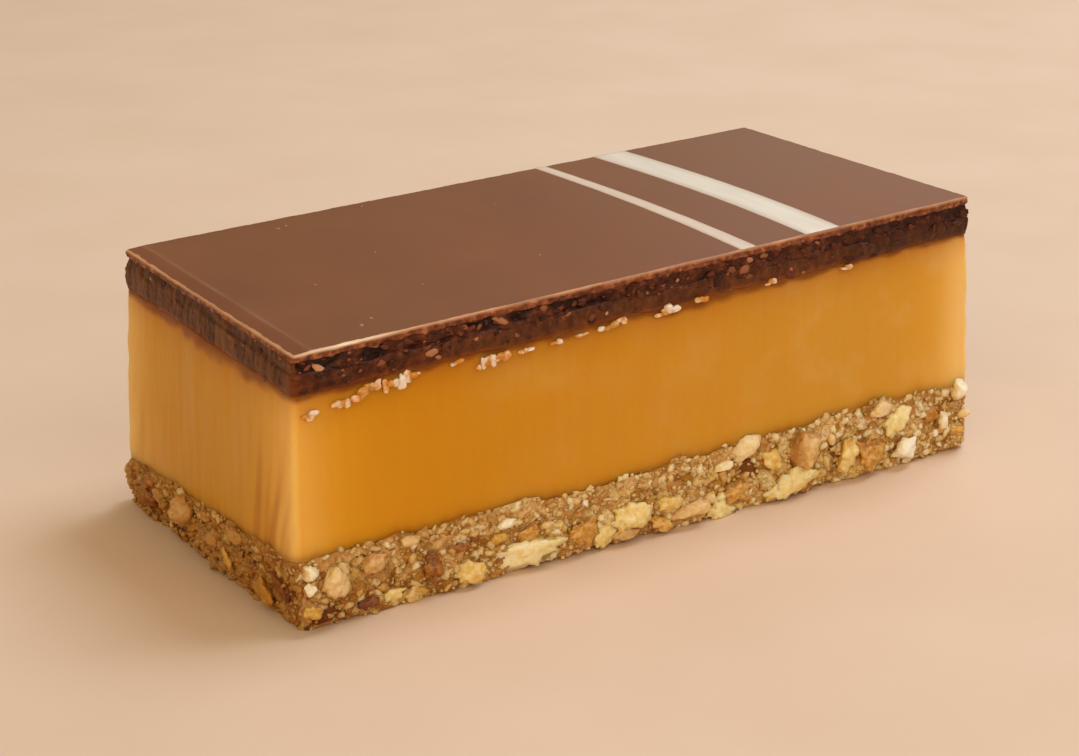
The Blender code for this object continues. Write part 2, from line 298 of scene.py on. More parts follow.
def layer(name, rings, material, marks):
    """A closed layer through rings of points from its underside to its top."""
    grid = cut_by_hand(np.array(rings))
    rows, places = grid.shape[:2]
    faces = [list(range(places))[::-1], list(range((rows - 1) * places, rows * places))]
    for row in range(rows - 1):
        low, high = row * places, (row + 1) * places
        for i in range(places):
            j = (i + 1) % places
            faces.append((low + i, low + j, high + j, high + i))
    return mesh_piece(name, grid, faces, material, marks)


def walled_layer(name, foot, wall, head, material, marks):
    """A layer from its wall and the flat rings under and over it, where every mark is 0."""
    plain = np.zeros((1, wall.shape[1]))
    padded = {mark: np.concatenate([plain, values, plain]) for mark, values in marks.items()}
    return layer(name, [foot, *wall, head], material, padded)


def base_top(y):
    """The level of the base's top face: the base was pressed thinner towards the back."""
    return BASE_THICKNESS_FRONT + (BASE_THICKNESS_BACK - BASE_THICKNESS_FRONT) * (0.5 + y / TOP_WIDTH)


def base_seam(ring):
    """The height of the base's ragged upper edge round the outline."""
    edge = on_top_edge(ring)
    return base_top(edge[:, 1]) + swells(edge, SEAM_WAVES) + front_swells(edge, SEAM_SWELLS)


def underside(ring):
    """How far the base's lower edge clears the ground: it rests on its middle and on a few crumbs."""
    edge = on_top_edge(ring)
    return FOOT_CLEARANCE + swells(edge, FOOT_WAVES) + front_swells(edge, HOLLOWS_BELOW)


def baked_crumb():
    """Baked crumb: tan biscuit, golden syrup, yellow flake and cream nut by chunk, with painted shade in the
    gaps.
    """
    material, tree, place, chunk, gap, toast = new_material(
        "baked_nut_and_biscuit", ("chunk", "gap", "toast"), Roughness=0.66, IOR=1.45, Specular_IOR_Level=0.35,
        Subsurface_Weight=0.35, Subsurface_Scale=0.0012, Subsurface_Radius=(1.0, 0.74, 0.42),
    )
    stops = [
        (0.0, "#b07a2a"), (0.20, "#d8aa66"), (0.45, "#f6d49a"), (0.50, "#ac761e"), (0.62, "#d6a44c"),
        (0.68, "#ecce7a"), (0.80, "#f8e2a6"), (0.84, "#f4dab0"), (0.90, "#fceccf"), (0.96, "#865014"),
        (1.0, "#6c3c0c"),
    ]
    specks = [(0.30, "#b08a58"), (0.45, "#e0c69c"), (0.56, "#fff6e6"), (0.75, "#ffffff")]
    shade = add(tree, "ValToRGB", {"stops": stops}, {0: chunk})
    grain = add(tree, "TexNoise", {"Scale": 1 / 0.00045, "Detail": 5.0, "Roughness": 0.7}, {"Vector": place})
    speckled = add(tree, "ValToRGB", {"stops": specks}, {0: grain})
    colour = add(
        tree, "Mix", {"data_type": "RGBA", "blend_type": "MULTIPLY", 0: 0.65}, {6: shade, 7: speckled}
    )
    patch = add(tree, "TexNoise", {"Scale": 1 / 0.0022, "Detail": 3.0}, {"Vector": place})
    soaked = add(tree, "MapRange", {"From Min": 0.5, "From Max": 0.68, "To Max": 0.5}, {"Value": patch})
    # Painted shade: the crumb is darker on the left end and on the front near its left corner.
    # Painted shade: the recessed gaps between chunks are darkened, deepest low down.
    for share, blend, tint in (
        (soaked, "MULTIPLY", "#dcb068"), (toast, "MULTIPLY", "#ceac72"), (gap, "MIX", "#80500f"),
    ):
        tinted = {"data_type": "RGBA", "blend_type": blend, 7: linear(tint)}
        colour = add(tree, "Mix", tinted, {0: share, 6: colour})
    bump = add(tree, "Bump", {"Strength": 0.7, "Distance": 0.00014}, {"Height": grain})
    return finished(material, Base_Color=colour, Normal=bump)


base_grid, base_normals, base_shares = side_wall(
    BASE_LEVELS, BASE_CORNER, BASE_COUNTS, BASE_ROWS, underside, base_seam
)
rough_shares = np.interp(base_shares, *zip(*[(level[0], level[3]) for level in BASE_LEVELS]))
bend = [swells(base_grid, [(1.0, 0.0016, seed), (0.45, 0.0006, seed + 3)]) for seed in (17.0, 27.0, 37.0)]
bent = (base_grid + CHUNK_BEND * np.stack(bend, -1)) * np.array([1.0, 1.0, CHUNK_FLATTER])
big_kind, big_inside = chunks(bent, CHUNK, 0.0)
small_kind, small_inside = chunks(bent, SMALL_CHUNK, 40.0)
low_down = np.maximum(ramp(base_shares, 0.92, 0.62), 0.15)
clumps = waves(base_grid, CLUMP, 51.0)
crag = CLUMP_RISE * clumps + CHUNK_RISE * (big_kind - MEAN_KIND) * big_inside * low_down
crag += SMALL_CHUNK_RISE * (small_kind - MEAN_KIND) * small_inside - CHUNK_GAP * (1 - big_inside) * low_down
crag += CRUMB_RISE * (0.5 - grains(base_grid, CRUMB, 60.0)) + swells(base_grid, CRUMB_WAVES)
base_wall = base_grid + base_normals * (crag * rough_shares - CRUMB_ROOM)[..., None]
special = (big_kind > KIND_STEPS[0]) & (base_shares < 0.80 + 0.15 * waves(base_grid, 0.0020, 77.0))
# Crumb tone between the special chunks: random by small chunk, and paler where the clumps stand out and
# darker where they sink back, as painted light and shade.
crumb_tone_and_shade = np.clip(0.24 + 0.34 * clumps + 0.22 * (small_kind - 0.5), 0, 0.45)
# Painted shade: the crumb is darkened on the left end and on the front near its left corner.
left_facing = np.clip(-base_normals[..., 0], 0, 1)
from_left = np.clip(base_grid[..., 0] + TOP_LENGTH / 2, 0, None)
near_corner = CORNER_SHADE * np.exp(-from_left / CORNER_SHADE_REACH)
base = walled_layer(
    "nut_biscuit_base_crumb", flat_ring(GROUND, BASE_COUNTS), base_wall, flat_ring(base_top, BASE_COUNTS),
    baked_crumb(),
    {
        "chunk": np.where(special, np.interp(big_kind, KIND_STEPS, TONE_STEPS), crumb_tone_and_shade),
        # Painted shade in the gaps between chunks, deepest low down.
        "gap": np.clip((1 - big_inside) * low_down * 0.40 + (1 - small_inside) * 0.20 - 0.10, 0, 0.6),
        # Painted shade on the left end and near the front-left corner.
        "toast": np.maximum(left_facing, np.where(base_grid[..., 1] < 0, near_corner, 0)),
    },
)
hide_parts("nut_biscuit_base")


# Pieces in the base. Blanched nuts were chopped to 1-4 mm, maize flakes broken by the press, and syrup
# cooked into amber lumps; crumbs of biscuit stick to all of them, thickest along the upper edge.

# Each kind: its material, the number, fineness, facets and wobble of its shapes, how closely it is strewn and
# between which shares of the height, its sizes, how far it stands out, and its tones.
PIECE_KINDS = {
    "chopped_nuts": {
        "material": (
            "blanched_chopped_nut", [(0.0, "#bc8640"), (0.4, "#e4bc7c"), (0.75, "#f8e0b0"), (1.0, "#fff2da")],
            0.48, 0.35, 0.0006, 0.18,
        ),
        "shapes": (9, 4, 7, 0.14), "spacing": 0.0062, "between": (0.05, 0.95), "keep": 0.55, "rough": 0.20,
        "length": (0.0014, 0.0034), "tall": (0.6, 0.9), "thick": 0.8, "out": 0.26, "tones": (0.25, 0.80),
    },
    "maize_flakes": {
        "material": (
            "baked_maize_flake", [(0.0, "#b87e24"), (0.4, "#e0b256"), (0.75, "#f6da94"), (1.0, "#feeec6")],
            0.50, 0.35, 0.0006, 0.22,
        ),
        "shapes": (7, 4, 5, 0.20), "spacing": 0.0062, "between": (0.02, 0.72), "keep": 0.55, "rough": 0.32,
        "length": (0.0026, 0.0052), "tall": (0.45, 0.75), "thick": 0.50, "out": 0.30, "tones": (0.3, 0.85),
    },
    "syrup_lumps": {
        "material": (
            "cooked_syrup_lump", [(0.0, "#844a10"), (0.4, "#b87c28"), (0.75, "#d8a24c"), (1.0, "#ecc47c")],
            0.40, 0.60, 0.0006, 0.28,
        ),
        "shapes": (7, 4, 6, 0.26), "spacing": 0.0060, "between": (0.02, 0.75), "keep": 0.55, "rough": 0.45,
        "length": (0.0018, 0.0042), "tall": (0.55, 0.9), "thick": 0.7, "out": 0.10, "tones": (0.2, 0.9),
    },
    "nut_skins": {
        "material": (
            "toasted_nut_skin", [(0.0, "#64301a"), (0.5, "#8c4e26"), (1.0, "#b07840")],
            0.42, 0.20, 0.0006, 0.25,
        ),
        "shapes": (5, 3, 6, 0.24), "spacing": 0.0095, "between": (0.02, 0.8), "keep": 0.45, "rough": 0.45,
        "length": (0.0008, 0.0016), "tall": (0.6, 0.95), "thick": 0.6, "out": 0.0, "tones": (0.3, 0.9),
    },
    "toasted_crumbs": {
        "material": (
            "toasted_biscuit_crumb",
            [(0.0, "#ae7832"), (0.35, "#d4a45e"), (0.7, "#eecb8e"), (1.0, "#fce6bc")],
            0.62, 0.40, 0.0005, 0.22,
        ),
        "shapes": (9, 2, 7, 0.30), "spacing": 0.00130, "between": (0.0, 1.0), "keep": 0.92, "rough": 0.60,
        "length": (0.0008, 0.0019), "tall": (0.5, 0.9), "thick": 0.9, "out": 0.10, "tones": (0.20, 0.95),
    },
    "fine_crumbs": {
        "material": (
            "fine_biscuit_crumb", [(0.0, "#b27e38"), (0.35, "#d6a964"), (0.7, "#eecb90"), (1.0, "#fbe6bf")],
            0.64, 0.40, 0.0004, 0.12,
        ),
        "shapes": (8, 1, 4, 0.40), "spacing": 0.00080, "between": (0.0, 1.0), "keep": 0.85, "rough": 0.50,
        "length": (0.00028, 0.00070), "tall": (0.6, 1.0), "thick": 0.9, "out": 0.30, "tones": (0.15, 0.82),
    },
}
SEEN_PROUD = 0.12
SEEN_GROWN = 1.12
SPARE_SHARE = 0.45
SUNK_TONE = 0.55
# Painted shade on the pieces: lower tones on the left end, and at the foot near the left corner.
LEFT_END_SHADE = 0.25
FOOT_SHADE = 0.45
FOOT_SHADE_FROM = 0.0062
FOOT_SHADE_FULL = 0.0032
FOOT_SHADE_REACH = 0.0070
# A tone drop by place along the slice: darker towards the left, paler towards the right.
TONE_DROP_PLACES = [-0.030, -0.014, 0.018, 0.032]
TONE_DROP_THERE = [0.12, 0, 0, -0.09]

# The pieces seen best, in millimetres: distance along their side from its middle, height, length, height of
# the piece, turn in degrees, and tone. Distances run along +X on the front and along +Y on the left end.
PIECES_SEEN = {
    "chopped_nuts": {
        "front": [
            (-40.9, 5.2, 3.3, 3.7, 4, 0.62), (-43.4, 6.7, 1.9, 1.8, 0, 1.0), (-44.0, 4.9, 1.4, 1.7, 30, 0.98),
            (-36.6, 6.3, 3.2, 2.2, 0, 0.36), (-32.3, 7.3, 2.8, 1.4, 12, 0.5), (-20.4, 6.3, 2.4, 1.3, 5, 0.95),
            (-10.4, 5.9, 0.9, 0.9, 0, 0.9), (-5.5, 1.5, 3.6, 1.5, 4, 0.28), (2.8, 2.1, 4.4, 2.2, 8, 0.42),
            (7.65, 6.0, 2.0, 1.5, 15, 0.82), (11.5, 7.4, 4.0, 2.4, 18, 0.66), (19.2, 5.4, 4.4, 4.4, 0, 0.34),
            (31.0, 7.9, 4.0, 2.0, 0, 0.55), (34.6, 2.1, 3.9, 2.9, 5, 1.0), (39.6, 2.8, 0.9, 0.9, 0, 0.95),
            (40.8, 4.3, 1.7, 2.3, 0, 0.8), (43.1, 7.7, 2.3, 2.5, 0, 0.86),
        ],
        "left": [
            (4.4, 5.2, 3.5, 3.4, 0, 0.45), (6.0, 6.5, 1.7, 1.0, 0, 0.85), (9.5, 1.3, 1.4, 1.2, 0, 0.8),
            (-7.6, 6.4, 2.2, 1.6, 0, 0.35), (-2.5, 4.3, 2.4, 2.0, 0, 0.40),
        ],
    },
    "maize_flakes": {
        "front": [
            (-18.6, 2.2, 8.6, 3.7, 16, 0.9), (-25.0, 2.0, 3.0, 2.6, 0, 0.66), (-34.0, 1.6, 2.3, 1.7, 20, 0.8),
            (-32.1, 0.9, 4.0, 1.1, 0, 0.4), (-44.4, 2.5, 1.8, 1.5, 0, 0.4), (-21.1, 4.4, 1.9, 1.5, 0, 0.4),
            (-4.5, 3.4, 4.4, 3.1, 10, 0.72), (7.4, 2.3, 1.9, 1.3, 0, 0.8), (14.9, 5.2, 2.2, 2.9, 70, 0.5),
            (17.5, 2.0, 6.8, 2.8, 8, 0.78), (25.6, 3.6, 3.9, 2.5, 75, 0.62),
        ],
        "left": [(-6.6, 3.3, 2.6, 1.7, 80, 0.7), (-13.9, 2.2, 3.1, 2.5, 80, 0.35)],
    },
    "syrup_lumps": {
        "front": [
            (-29.2, 3.6, 3.2, 2.2, 80, 0.25), (-39.4, 1.5, 1.9, 1.5, 0, 0.2), (-26.4, 4.9, 2.6, 1.2, 0, 0.3),
            (-11.1, 2.5, 4.4, 3.3, 0, 0.62), (-1.0, 1.5, 2.7, 2.0, 0, 0.8), (9.8, 2.0, 4.4, 2.5, 10, 0.7),
            (28.6, 2.9, 4.8, 3.7, 0, 0.6),
        ],
        "left": [(-10.6, 4.2, 2.6, 2.4, 0, 0.5), (15.5, 2.5, 3.4, 3.0, 0, 0.55)],
    },
    "nut_skins": {
        "front": [(-37.0, 1.5, 2.3, 1.8, 0, 0.5), (-24.4, 5.4, 1.2, 1.0, 0, 0.6)],
        "left": [(-17.3, 3.4, 1.7, 1.9, 0, 0.3), (11.0, 1.4, 1.6, 1.2, 0, 0.1)],
    },
}
FACINGS = {"front": np.array([0.0, -1.0, 0.0]), "left": np.array([-1.0, 0.0, 0.0])}
draw = np.random.default_rng(11)


def chopped_shapes(number, detail, facets, wobble):
    """Unit lumps as point arrays with their faces: a ball chopped by planes, its edges worn round."""
    ball = bmesh.new()
    bmesh.ops.create_icosphere(ball, subdivisions=detail, radius=1.0)
    faces = np.array([[v.index for v in face.verts] for face in ball.faces])
    unit = np.array([v.co for v in ball.verts])
    ball.free()
    shapes = []
    for _ in range(number):
        planes = draw.normal(size=(facets, 3))
        planes /= np.linalg.norm(planes, axis=1)[:, None]
        reach = np.clip(unit @ planes.T, 0, None) / draw.uniform(0.50, 0.90, facets)
        radius = (1 + (reach**14).sum(1)) ** (-1 / 14)
        seed = draw.uniform(0, 99)
        radius *= 1 + wobble * waves(unit, 0.55, seed) + 0.5 * wobble * waves(unit, 0.22, seed + 7)
        shapes.append(unit * radius[:, None])
    return shapes, faces


def standing(outward, angle, tilt, along=None):
    """Frames for pieces on a wall: X turned by an angle from the wall's run, Z out of the wall, tilted."""
    along = np.cross([0.0, 0.0, 1.0], outward) if along is None else along
    up = np.cross(outward, along)
    first = along * np.cos(angle)[:, None] + up * np.sin(angle)[:, None]
    third = outward + up * tilt[:, :1] + along * tilt[:, 1:]
    third /= np.linalg.norm(third, axis=1)[:, None]
    second = np.cross(third, first)
    second /= np.linalg.norm(second, axis=1)[:, None]
    return np.stack([np.cross(second, third), second, third], -1)


def scattered(name, shapes, faces, centres, frames, halves, tones, material, slot, rough=0.0, fade=0.0):
    """One piece made of a lump for each centre, craggy if rough, its tones fading where it sinks in."""
    pick = draw.integers(0, len(shapes), len(centres))
    units = np.array(shapes)[pick] * halves[:, None, :]
    points = centres[:, None, :] + np.einsum("nij,nkj->nki", frames, units)
    if rough:
        crags = swells(points, [(1.0, 0.0008, 3.0), (0.6, 0.0004, 6.0)])
        points += (points - centres[:, None, :]) * (rough * crags)[..., None]
    points[..., 2] = np.maximum(points[..., 2], GROUND)
    sunk = np.clip(0.6 - units[..., 2] / halves[:, None, 2], 0, 1)
    joined = (faces[None] + np.arange(len(centres))[:, None, None] * points.shape[1]).reshape(-1, 3)
    marks = {"tone": tones[:, None] - fade * sunk}
    piece = mesh_piece(name, cut_by_hand(points), joined.tolist(), material, marks)
    return piece


def wall_spots(wall, spacing, low, high, keep):
    """Row and column of evenly jittered spots on a wall between two shares of its height."""
    rows, places = wall.shape[:2]
    length = np.linalg.norm(np.diff(wall[rows // 2, :, :2], axis=0), axis=1).sum()
    tall = np.ptp(wall[:, :, 2]) * (high - low)
    across, up = round(length / spacing), max(1, round(tall / spacing))
    column = (np.arange(across)[:, None] + draw.uniform(0, 1, (across, up))) / across * places
    row = (low + (np.arange(up) + draw.uniform(0, 1, (across, up))) / up * (high - low)) * (rows - 1)
    kept = draw.uniform(0, 1, (across, up)) < keep
    return row[kept].astype(int), column[kept].astype(int) % places


def food_pieces(name, stops, roughness, scatter, mottle, fleck):
    """A material for many pieces: their own tones through these stops, mottled at the given grain."""
    material, tree, place, tone = new_material(
        name, ("tone",), Roughness=roughness, IOR=1.46, Subsurface_Weight=scatter, Subsurface_Scale=0.0016,
        Subsurface_Radius=(1.0, 0.74, 0.42),
    )
    patch = add(tree, "TexNoise", {"Scale": 1 / mottle, "Detail": 4.0, "Roughness": 0.6}, {"Vector": place})
    reach = {"From Min": 0.3, "From Max": 0.7, "To Min": -fleck, "To Max": fleck}
    shift = add(tree, "MapRange", reach, {"Value": patch})
    total = add(tree, "Math", {"operation": "ADD"}, {0: tone, 1: shift})
    shade = add(tree, "ValToRGB", {"stops": stops}, {0: total})
    bump = add(tree, "Bump", {"Strength": 0.5, "Distance": 0.00010}, {"Height": patch})
    return finished(material, Base_Color=shade, Normal=bump)


def base_pieces(kind, seen, wall, normals):
    """One kind's pieces over all four sides: the seen ones in their places and the others between them."""
    shapes, faces = chopped_shapes(*kind["shapes"])
    row, column = wall_spots(wall, kind["spacing"], *kind["between"], kind["keep"])
    if seen:
        stays = (normals[row, column].sum(1) > 0) | (draw.uniform(0, 1, len(row)) < SPARE_SHARE)
        row, column = row[stays], column[stays]
    centres, outward = wall[row, column], normals[row, column]
    length = draw.uniform(*kind["length"], len(row))
    tall = length * draw.uniform(*kind["tall"], len(row))
    turn = draw.uniform(-0.9, 0.9, len(row))
    tones = draw.uniform(*kind["tones"], len(row))
    for side, pieces in seen.items():
        axis, turned = (0, 1) if side == "front" else (1, -1)
        there = normals @ FACINGS[side] > 0.99
        for along, height, long_mm, tall_mm, degrees, tone in pieces:
            apart = abs(wall[..., axis] - along / 1000) + abs(wall[..., 2] - height / 1000) * 2
            nearest = np.unravel_index(np.where(there, apart, 1.0).argmin(), apart.shape)
            centres = np.vstack([centres, wall[nearest]])
            outward = np.vstack([outward, FACINGS[side]])
            length = np.append(length, long_mm / 1000 * SEEN_GROWN)
            tall = np.append(tall, tall_mm / 1000 * SEEN_GROWN)
            turn = np.append(turn, math.radians(turned * degrees))
            tones = np.append(tones, tone)
    spare = np.arange(len(length)) < len(row)
    thick = np.minimum(length, tall) * kind["thick"]
    halves = np.column_stack([length, tall, thick]) / 2
    proud = kind["out"] - 0.25 + SEEN_PROUD * ~spare
    centres = centres + outward * (thick * proud + CRUMB_ROOM * 0.4)[:, None]
    frames = standing(outward, turn, draw.uniform(-0.25, 0.25, (len(centres), 2)))
    # Painted shade: tones drop on the left end and at the foot near the left corner, and also by place along
    # the slice.
    from_left = np.clip(centres[:, 0] + TOP_LENGTH / 2, 0, None)
    at_foot = ramp(centres[:, 2], FOOT_SHADE_FROM, FOOT_SHADE_FULL) * np.exp(-from_left / FOOT_SHADE_REACH)
    shade_and_tone_drop = LEFT_END_SHADE * (outward[:, 0] < -0.7) + FOOT_SHADE * at_foot * spare
    shade_and_tone_drop += np.interp(centres[:, 0], TONE_DROP_PLACES, TONE_DROP_THERE)
    return shapes, faces, centres, frames, halves, tones - shade_and_tone_drop


for kind_name, kind in PIECE_KINDS.items():
    scattered(
        kind_name, *base_pieces(kind, PIECES_SEEN.get(kind_name, {}), base_wall, base_normals),
        food_pieces(*kind["material"]), "nut_biscuit_base", kind["rough"], SUNK_TONE,
    )


# Caramel. Butter, sugar and condensed milk were cooked to a soft amber set and poured on the baked base; the
# knife left it nearly flat along the front and drew it into upright ripples across the cut ends.

CHOCOLATE_THICKNESS = 0.00440
CARAMEL_TOP = HEIGHT - CHOCOLATE_THICKNESS
CHOCOLATE_SEAM_WAVES = [(0.00028, 0.0110, 12.7), (0.00014, 0.0036, 21.4), (0.00012, 0.0012, 28.3)]
CARAMEL_LEVELS = [
    (0.00, 0.00085, 0.00060),
    (0.10, 0.00090, 0.00070),
    (0.30, 0.00080, 0.00056),
    (0.55, 0.00064, 0.00036),
    (0.80, 0.00046, 0.00016),
    (0.95, 0.00032, 0.00004),
    (1.00, 0.00012, -0.00014),
]
CARAMEL_COUNTS = (360, 180, 12)
CARAMEL_ROWS = 64
CARAMEL_CORNER = 0.0011
SUNK_INTO_BASE = 0.00035
SUNK_INTO_GANACHE = 0.00010
DRAG_BEND = 0.0060
DRAG_REACH = 0.0060
RIPPLE = 0.0042
RIPPLE_AT_ENDS = 0.00012
RIPPLE_ALONG = 0.00008
FINE_RIPPLE = 0.0016
FINE_RIPPLE_RISE = 0.00002
SWELL_WAVES = [(0.00018, 0.0080, 40.0)]
CORNER_NICKS = 0.00022


def chocolate_seam(ring):
    """The height of the ganache's lower edge round the outline, where the knife dragged it."""
    return CARAMEL_TOP + swells(on_top_edge(ring), CHOCOLATE_SEAM_WAVES)


def set_caramel():
    """Poured and set caramel: satin amber that light enters, so its corners glow paler than its faces."""
    material, tree, place, glow, pale, end, smear, dim, bloom, drag = new_material(
        "poured_soft_caramel", ("glow", "pale", "end", "smear", "dim", "bloom", "drag"), IOR=1.48,
        Specular_IOR_Level=0.15, Subsurface_Weight=1.0, Subsurface_Scale=0.0032,
        Subsurface_Radius=(1.0, 0.48, 0.12),
    )
    face = add(tree, "Mix", {"data_type": "RGBA", 6: linear("#d69412"), 7: linear("#d79f34")}, {0: bloom})
    ends = add(tree, "Mix", {"data_type": "RGBA", 7: linear("#cf9426")}, {0: end, 6: face})
    lit = add(tree, "Mix", {"data_type": "RGBA", 6: linear("#e2a006"), 7: linear("#f2b442")}, {0: end})
    colour = add(tree, "Mix", {"data_type": "RGBA"}, {0: glow, 6: ends, 7: lit})
    drawn = add(tree, "Mapping", {"Scale": (1.0, 1.0, 0.06)}, {"Vector": place})
    streak = add(
        tree, "TexNoise", {"Scale": 1 / 0.0011, "Detail": 4.0, "Roughness": 0.55}, {"Vector": drawn}
    )
    streaked = add(tree, "MapRange", {"From Min": 0.34, "From Max": 0.68, "To Max": 0.5}, {"Value": streak})
    at_end = add(tree, "MapRange", {"To Min": 0.12, "To Max": 0.2}, {"Value": end})
    lines = add(tree, "Math", {"operation": "MULTIPLY"}, {0: streaked, 1: at_end})
    cloud = add(tree, "TexNoise", {"Scale": 1 / 0.0060, "Detail": 5.0, "Roughness": 0.62}, {"Vector": place})
    cloudy = add(tree, "MapRange", {"From Min": 0.48, "From Max": 0.74, "To Max": 0.22}, {"Value": cloud})
    fatty = add(tree, "Math", {"operation": "MULTIPLY"}, {0: cloudy, 1: bloom})
    # Painted shade: the caramel is darkened under the ganache and just above the base.
    for share, blend, tint in (
        (pale, "MIX", "#f4ca78"), (lines, "MULTIPLY", "#dc9a5e"), (fatty, "MIX", "#ecc493"),
        (drag, "MULTIPLY", "#c4803c"), (dim, "MULTIPLY", "#c88a48"), (smear, "MIX", "#83440f"),
    ):
        tinted = {"data_type": "RGBA", "blend_type": blend, 7: linear(tint)}
        colour = add(tree, "Mix", tinted, {0: share, 6: colour})
    satin = {"From Min": 0.35, "From Max": 0.7, "To Min": 0.30, "To Max": 0.46}
    dull = add(tree, "MapRange", satin, {"Value": streak})
    bump = add(tree, "Bump", {"Strength": 0.12, "Distance": 0.00010}, {"Height": streak})
    return finished(material, Base_Color=colour, Roughness=dull, Normal=bump)


caramel_grid, caramel_normals, caramel_shares = side_wall(
    CARAMEL_LEVELS, CARAMEL_CORNER, CARAMEL_COUNTS, CARAMEL_ROWS,
    lambda ring: base_seam(ring) - SUNK_INTO_BASE,
    lambda ring: chocolate_seam(ring) + SUNK_INTO_GANACHE,
)
x, y = caramel_grid[..., 0], caramel_grid[..., 1]
at_ends = ramp(abs(caramel_normals[..., 0]), 0.3, 0.8)
to_side = TOP_WIDTH / 2 - abs(y)
to_end = TOP_LENGTH / 2 - abs(x)
inside_side = np.clip(to_side, 0, None)
inside_end = np.clip(to_end, 0, None)
sweep = caramel_grid * np.array([1.0, 1.0, 0.25])
sweep[..., 1] -= DRAG_BEND * np.exp(-to_side / DRAG_REACH) * (1 - caramel_shares) ** 2 * at_ends
ripple = np.where(at_ends > 0.4, RIPPLE_AT_ENDS, RIPPLE_ALONG) * waves(sweep, RIPPLE, 31.0)
ripple += swells(caramel_grid, SWELL_WAVES)
sweep[..., 2] *= 0.4
ripple += FINE_RIPPLE_RISE * (1 + at_ends) * waves(sweep, FINE_RIPPLE, 71.0)
level_waves = waves(caramel_grid * np.array([0.3, 0.3, 1.0]), 0.0024, 93.0)
ripple += CORNER_NICKS * np.exp(-np.hypot(to_side, to_end) / 0.0030) * level_waves
caramel_wall = caramel_grid + caramel_normals * ripple[..., None]

# Where the light that enters comes out again: along the upright corners, palest at the right one.
glow_side = 1 / (1 + (inside_end / 0.0068) ** 3)
glow_end = 1 / (1 + (inside_side / 0.0050) ** 2) * np.where(y > 0, 0.7, 1.0)
pale_side = np.where(x > 0, 1.0, 0.4) / (1 + (inside_end / np.where(x > 0, 0.0034, 0.0026)) ** 3)
pale_end = np.clip(np.exp(-inside_side / 0.0022) * np.where(y > 0, 1.3, 1.0), 0, 1)

# Where the knife left its marks: streaks drawn from the foot of the corners, and a film of chocolate that it
# pulled down over the caramel, thicker across the ends and in one place along the front.
drag = at_ends * bell(to_side - 0.0050, 0.0045) * ramp(caramel_shares, 0.8, 0.3)
drag *= np.where(y < 0, 0.5, 0.25) * np.clip(0.2 + 1.8 * waves(sweep, FINE_RIPPLE, 55.0), 0, 1)
patch = ((x + 0.0155) / 0.006) ** 2 + ((caramel_shares - 0.80) / 0.16) ** 2
below = chocolate_seam(caramel_grid[0, :, :2])[None] - caramel_grid[..., 2]
above = caramel_grid[..., 2] - base_seam(caramel_grid[0, :, :2])[None]
film = 0.0007 + 0.0009 * at_ends * bell(y + 0.003, 0.014) + 0.0005 * bell(x - 0.007, 0.007) * (1 - at_ends)
caramel = walled_layer(
    "caramel_poured", flat_ring(lambda y: base_top(y) - SUNK_INTO_BASE, CARAMEL_COUNTS), caramel_wall,
    flat_ring(CARAMEL_TOP, CARAMEL_COUNTS), set_caramel(),
    {
        "glow": glow_side * (1 - at_ends) + glow_end * at_ends,
        "pale": pale_side * (1 - at_ends) + pale_end * at_ends,
        "end": at_ends,
        "smear": np.clip(1.6 * (1 - below / film + 0.6 * waves(caramel_grid, 0.0022, 15.0)), 0, 1) * 0.85,
        # Painted shade under the ganache and just above the base.
        "dim": 0.75 * np.exp(-below / 0.0016) + 0.60 * np.exp(-np.clip(above, 0, None) / 0.0005),
        "bloom": np.maximum(ramp(x, -0.030, 0.025), np.exp(-patch)),
        "drag": drag,
    },
)
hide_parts("caramel_layer")


# Caramel beads. Where the knife pressed the chocolate down, soft caramel was squeezed out under it and set as
# wet-looking beads and torn flaps, nearly all of them along the front.

# Those seen along the front, in millimetres: distance along it, height, length and height of the bead.
BEADS_SEEN = [
    (-42.6, 23.5, 1.6, 0.5), (-39.0, 24.0, 1.8, 0.8), (-37.1, 24.1, 1.0, 0.5), (-35.8, 25.0, 2.2, 0.8),
    (-32.8, 25.0, 3.2, 1.1), (-30.6, 25.4, 1.0, 0.5), (-26.0, 25.3, 1.3, 0.6), (-22.4, 24.7, 2.2, 0.9),
    (-20.6, 24.9, 1.6, 0.6), (-17.5, 24.9, 1.6, 0.45), (-13.7, 25.1, 1.4, 0.45), (-10.6, 25.2, 1.2, 0.4),
    (-7.5, 25.2, 1.6, 0.5), (-5.8, 25.6, 2.0, 0.5), (0.4, 25.5, 2.6, 0.7), (5.0, 25.8, 1.5, 0.45),
    (14.6, 25.8, 1.2, 0.35), (25.4, 25.5, 1.4, 0.45),
]
BEADS_ELSEWHERE = 26
BEAD_BIT = 0.00060
BEAD_SLOPE = 0.15
BEAD_BOXIER = 0.75
BEAD_PROUD = 0.00018


def wet_caramel():
    """Squeezed-out caramel: glossy, with sharp highlights, and pale patches that are painted highlights."""
    material, tree, place, tone = new_material(
        "squeezed_wet_caramel", ("tone",), Roughness=0.26, IOR=1.48, Specular_IOR_Level=0.3,
        Subsurface_Weight=0.4, Subsurface_Scale=0.0008, Subsurface_Radius=(1.0, 0.70, 0.40),
    )
    patch = add(tree, "TexNoise", {"Scale": 1 / 0.0012, "Detail": 3.0}, {"Vector": place})
    per_bit_shift = add(tree, "MapRange", {"To Min": -0.17, "To Max": 0.10}, {"Value": tone})
    paler = add(tree, "Math", {"operation": "ADD"}, {0: patch, 1: per_bit_shift})
    # Painted highlights: the pale stops stand for the white highlights on wet caramel, shifted per bit.
    stops = [(0.38, "#da8c36"), (0.48, "#eeb884"), (0.60, "#fde2ce")]
    shade = add(tree, "ValToRGB", {"stops": stops}, {0: paler})
    bump = add(tree, "Bump", {"Strength": 0.4, "Distance": 0.00008}, {"Height": patch})
    return finished(material, Base_Color=shade, Normal=bump)


